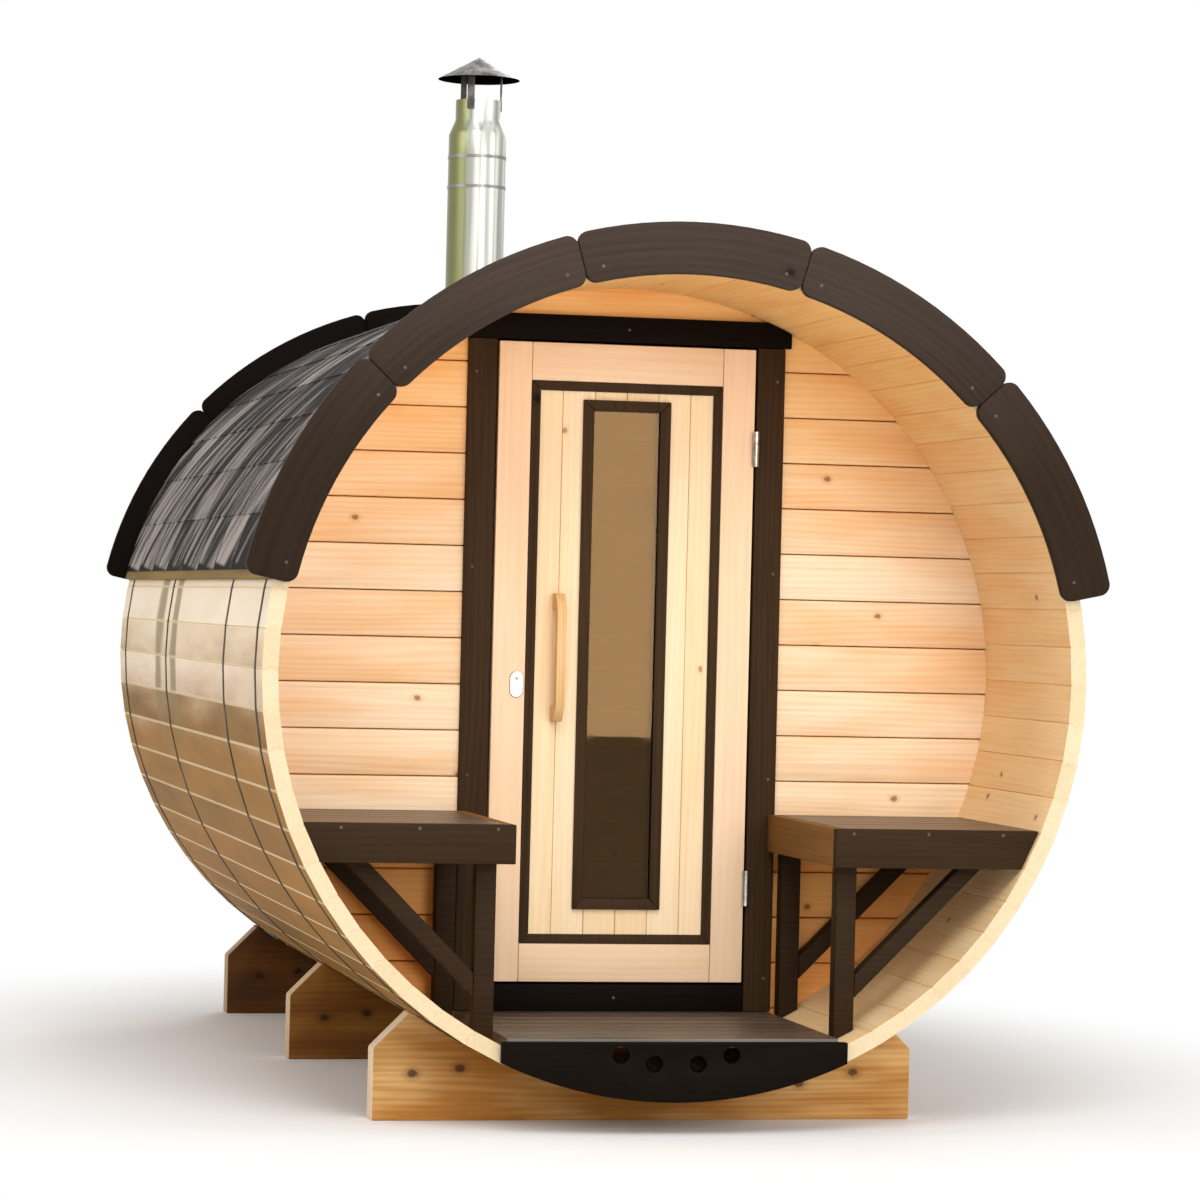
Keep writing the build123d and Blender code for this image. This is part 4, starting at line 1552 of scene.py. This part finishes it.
@dataclass
class Finishes:
    """All finishes of the sauna, made once."""

    barrel: Barrel
    coursing: Coursing

    def build(self) -> dict[str, Material]:
        """Makes every finish.

        Returns:
            The materials by name.
        """
        made = [*self.raw_wood(), *self.stained_wood(), *self.door_wood(), *self.sheets()]
        return {finish.name: finish.material() for finish in made}

    def raw_wood(self) -> list[Timber]:
        """Lists the wood that is not stained.

        Returns:
            Finishes of the staves, walls, cradles and battens.
        """
        barrel = self.barrel
        stave_mm = 2 * math.pi * barrel.radius / barrel.staves / MM
        hoop = sum(corner[1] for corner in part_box("hoop_middle")) / 2
        # Planed spruce, left raw: pale straw with warm growth rings and small brown knots.
        spruce = {"pale": "#FFE8C9", "warm": "#F4C48F", "dark": "#D09A60", "knot": "#8E5E35", "figure": 0.25,
                  "fibre": 0.3, "blotch": 0.6, "spread": 0.35, "knot_mm": 7.0, "knot_cell_mm": 150.0}
        walls = {"board_mm": Walls.board_mm, "origin_mm": Walls.origin_mm}
        # Painted shade: deeper and warmer high up under the roof, and darker still behind the benches.
        painted_roof_shade, painted_bench_shade = ("#FFE5B0", 1.25, 2.0), ("#FFCB84", 0.7, 0.6)
        # Impregnated sawn pine: orange-brown with dark knots and resin streaks, paler where it is
        # sawn across; the middle and rear cradles are drawn darker as painted shade under the barrel.
        pine = {"board_mm": 400.0, "figure": 0.2, "fibre": 0.35, "blotch": 0.95, "knot_cell_mm": 105.0,
                "knot_mm": 10.0, "knot_share": 0.45, "roughness": 0.7}
        pines = {"impregnated_pine": ("#E8BC7C", "#B57A34", "#653C16", "#38200E", "#EAD2B0"),
                 "damp_pine": ("#A87430", "#7C4A16", "#46270C", "#2A170A", "#D9BE98"),
                 "wet_pine": ("#744818", "#52300E", "#301A08", "#1E1006", "#B89C78")}
        return [
            StaveTimber("spruce_staves", barrel, Run.STAVE,
                        **{**spruce, "pale": "#FFE3B2", "warm": "#F7CA90"}, board_mm=stave_mm,
                        origin_mm=-stave_mm / 2, knot_share=0.12, specular=0.1,
                        # Painted shade: the inside is warmer high up under the roof.
                        tinges=(("#FFF0D0", 1.4, 2.0),),
                        runs=((hoop + 0.19, 0.085), (hoop - 0.15, 0.075))),
            Timber("porch_wall_boards", barrel, Run.LEVEL, **spruce, **walls, tinges=(painted_roof_shade, painted_bench_shade)),
            Timber("rear_wall_boards", barrel, Run.LEVEL, **{**spruce, "pale": "#F8DDBA", "warm": "#EBC08C"},
                   **walls),
            *(Timber(name, barrel, Run.LEVEL, *colours, sawn_end=end, **pine)
              for name, (*colours, end) in pines.items()),
            # Rough sawn battens, brown.
            Timber("rough_battens", barrel, Run.LENGTHWISE, "#94773A", "#715626", "#412F13", "#33220E",
                   board_mm=80, knot_share=0.2, roughness=0.75),
        ]

    def stained_wood(self) -> list[Timber]:
        """Lists the wood that is stained dark.

        Returns:
            Finishes of the door frame, floors, benches, fascia and trim.
        """
        barrel = self.barrel
        # Spruce stained black-brown: the stain evens out the grain and leaves a low sheen.
        stained = {"pale": "#43311E", "warm": "#352516", "dark": "#1C130A", "knot": "#120B06", "fibre": 0.5,
                   "knot_share": 0.05, "roughness": 0.6, "specular": 0.07}
        # The same stain where it was laid on thick; the rear trim is drawn this dark as painted shade.
        blackened = {**stained, "pale": "#150E08", "warm": "#100A06", "dark": "#080503", "knot": "#060402",
                     "specular": 0.04}
        # The same stain on boards out in the weather: greyed and a little paler.
        greyed = {"pale": "#43372F", "warm": "#372C25", "dark": "#221A15", "knot": "#18110D", "fibre": 0.45,
                  "knot_share": 0.04, "roughness": 0.6, "specular": 0.08}
        # Where feet and clothes rub it, the stain is greyer and polished.
        rubbed = {**greyed, "pale": "#6A5A4D", "warm": "#41352B", "roughness": 0.4, "specular": 0.5}
        trim = {"board_mm": barrel.radius * math.radians(2 * Roof.half_angle / Roof.panels) / MM,
                "origin_mm": -barrel.radius * math.radians(Roof.half_angle) / MM, "ring_mm": 22}
        return [
            Timber("stained_frame", barrel, Run.UPRIGHT, **stained, board_mm=300, origin_mm=-450),
            Timber("stained_rails", barrel, Run.LEVEL, **{**stained, "pale": "#382818", "warm": "#2B1E12"},
                   board_mm=500),
            Timber("blackened_rails", barrel, Run.LEVEL, **blackened, board_mm=500),
            # The side of the seat, drawn paler and browner as painted light from the walls.
            Timber("stained_side", barrel, Run.LENGTHWISE,
                   **{**stained, "pale": "#916838", "warm": "#74522B"}, board_mm=300, origin_mm=-150),
            Timber("stained_floor", barrel, Run.CROSSWAYS, **rubbed, board_mm=Porch.floor_board_mm,
                   origin_mm=-1500),
            Timber("stained_seat", barrel, Run.CROSSWAYS, **rubbed, board_mm=Porch.seat_board_mm,
                   origin_mm=-1486),
            # Darker and greyer towards the bottom.
            Timber("stained_trim", barrel, Run.CURVED, **greyed, **trim, tinges=(("#B6A98F", 2.1, 1.5),)),
            # Rear trim, near black: painted shade.
            Timber("blackened_trim", barrel, Run.CURVED, **blackened, **trim),
        ]

    def door_wood(self) -> list[Timber]:
        """Lists the wood of the door's leaf.

        Returns:
            Finishes of its stiles, rails, boards and handle.
        """
        barrel = self.barrel
        # Planed spruce, paler and closer than the walls.
        leaf = {"board_mm": 330, "knot_share": 0.05, "ring_mm": 20, "figure": 0.2, "fibre": 0.2}
        return [
            Timber("door_stiles", barrel, Run.UPRIGHT, "#FBDDBB", "#F3CBA2", "#D9A976", "#9A6B44", **leaf,
                   origin_mm=-330),
            Timber("door_rails", barrel, Run.LEVEL, "#F6D8B6", "#EBC49A", "#D3A474", "#9A6B44", **leaf,
                   origin_mm=120),
            Timber("door_boards", barrel, Run.UPRIGHT, "#FEE6C2", "#F6D3A0", "#DFB57E", "#A9794B",
                   board_mm=Door.panel_board_mm, origin_mm=Door.panel_origin_mm, knot_share=0.15, knot_mm=6,
                   spread=0.5, ring_mm=18, figure=0.25),
            # Oiled alder, without knots, smooth from hands.
            Timber("handle_wood", barrel, Run.UPRIGHT, "#EFC893", "#D8A868", "#A87440", "#7A4F2A",
                   board_mm=400, origin_mm=-330, knot_share=0.0, ring_mm=9, roughness=0.45),
        ]

    def sheets(self) -> list[MineralShingle | SheetSteel | FloatGlass]:
        """Lists what is not wood.

        Returns:
            Finishes of the shingles, the metals and the glass.
        """
        return [
            MineralShingle("mineral_shingle", self.barrel, self.coursing),
            # Bright stainless flue pipe: rolled sheet with soft streaks up the pipe, and a painted reflection
            # on the side facing -X.
            SheetSteel("stainless_flue", "#DCDDD5", "#86887B", 1.0, 0.34, (45.0, 45.0, 0.8),
                       side_reflection="#7B7C55", seam="#84857F", seam_from=Chimney.seam_from()),
            # The same sheet over the smoke: dull and browned, and black and matt below as painted shade.
            SheetSteel("sooted_cap", "#74716A", "#3C3A35", 0.8, 0.42, (18.0, 18.0, 30.0), underside_shade="#070605"),
            # Steel strap of the hoops: dull, with a trace of rust, drawn dark brown as painted shade over
            # grey steel.
            SheetSteel("hoop_strap", "#4A3B26", "#2B2114", 0.0, 0.7, (14.0, 30.0, 14.0)),
            # Zinc plated hardware: light grey, satin.
            SheetSteel("zinc_hardware", "#D2D3D1", "#9A9B99", 1.0, 0.3, (60.0, 60.0, 60.0)),
            # Screws of the same kind, gone dull.
            SheetSteel("dulled_screws", "#6A655E", "#4A4640", 0.3, 0.6, (60.0, 60.0, 60.0)),
            FloatGlass("door_pane"),
        ]


def main() -> None:
    """Builds the studio and every sub-assembly."""
    logging.basicConfig(level=logging.INFO, format="%(name)s: %(message)s")
    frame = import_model()
    barrel = Barrel.from_frame()
    coursing = Coursing()
    finishes = Finishes(barrel, coursing).build()
    Studio(barrel).build()
    for assembly in (Shell, Walls, Door, Porch):
        assembly(frame, finishes).build()
    roof = Roof(frame, finishes, barrel, coursing)
    roof.build()
    Chimney(frame, finishes).build()
    Fixings().build(roof.screw_places(), finishes["dulled_screws"])


if __name__ == "__main__":
    main()
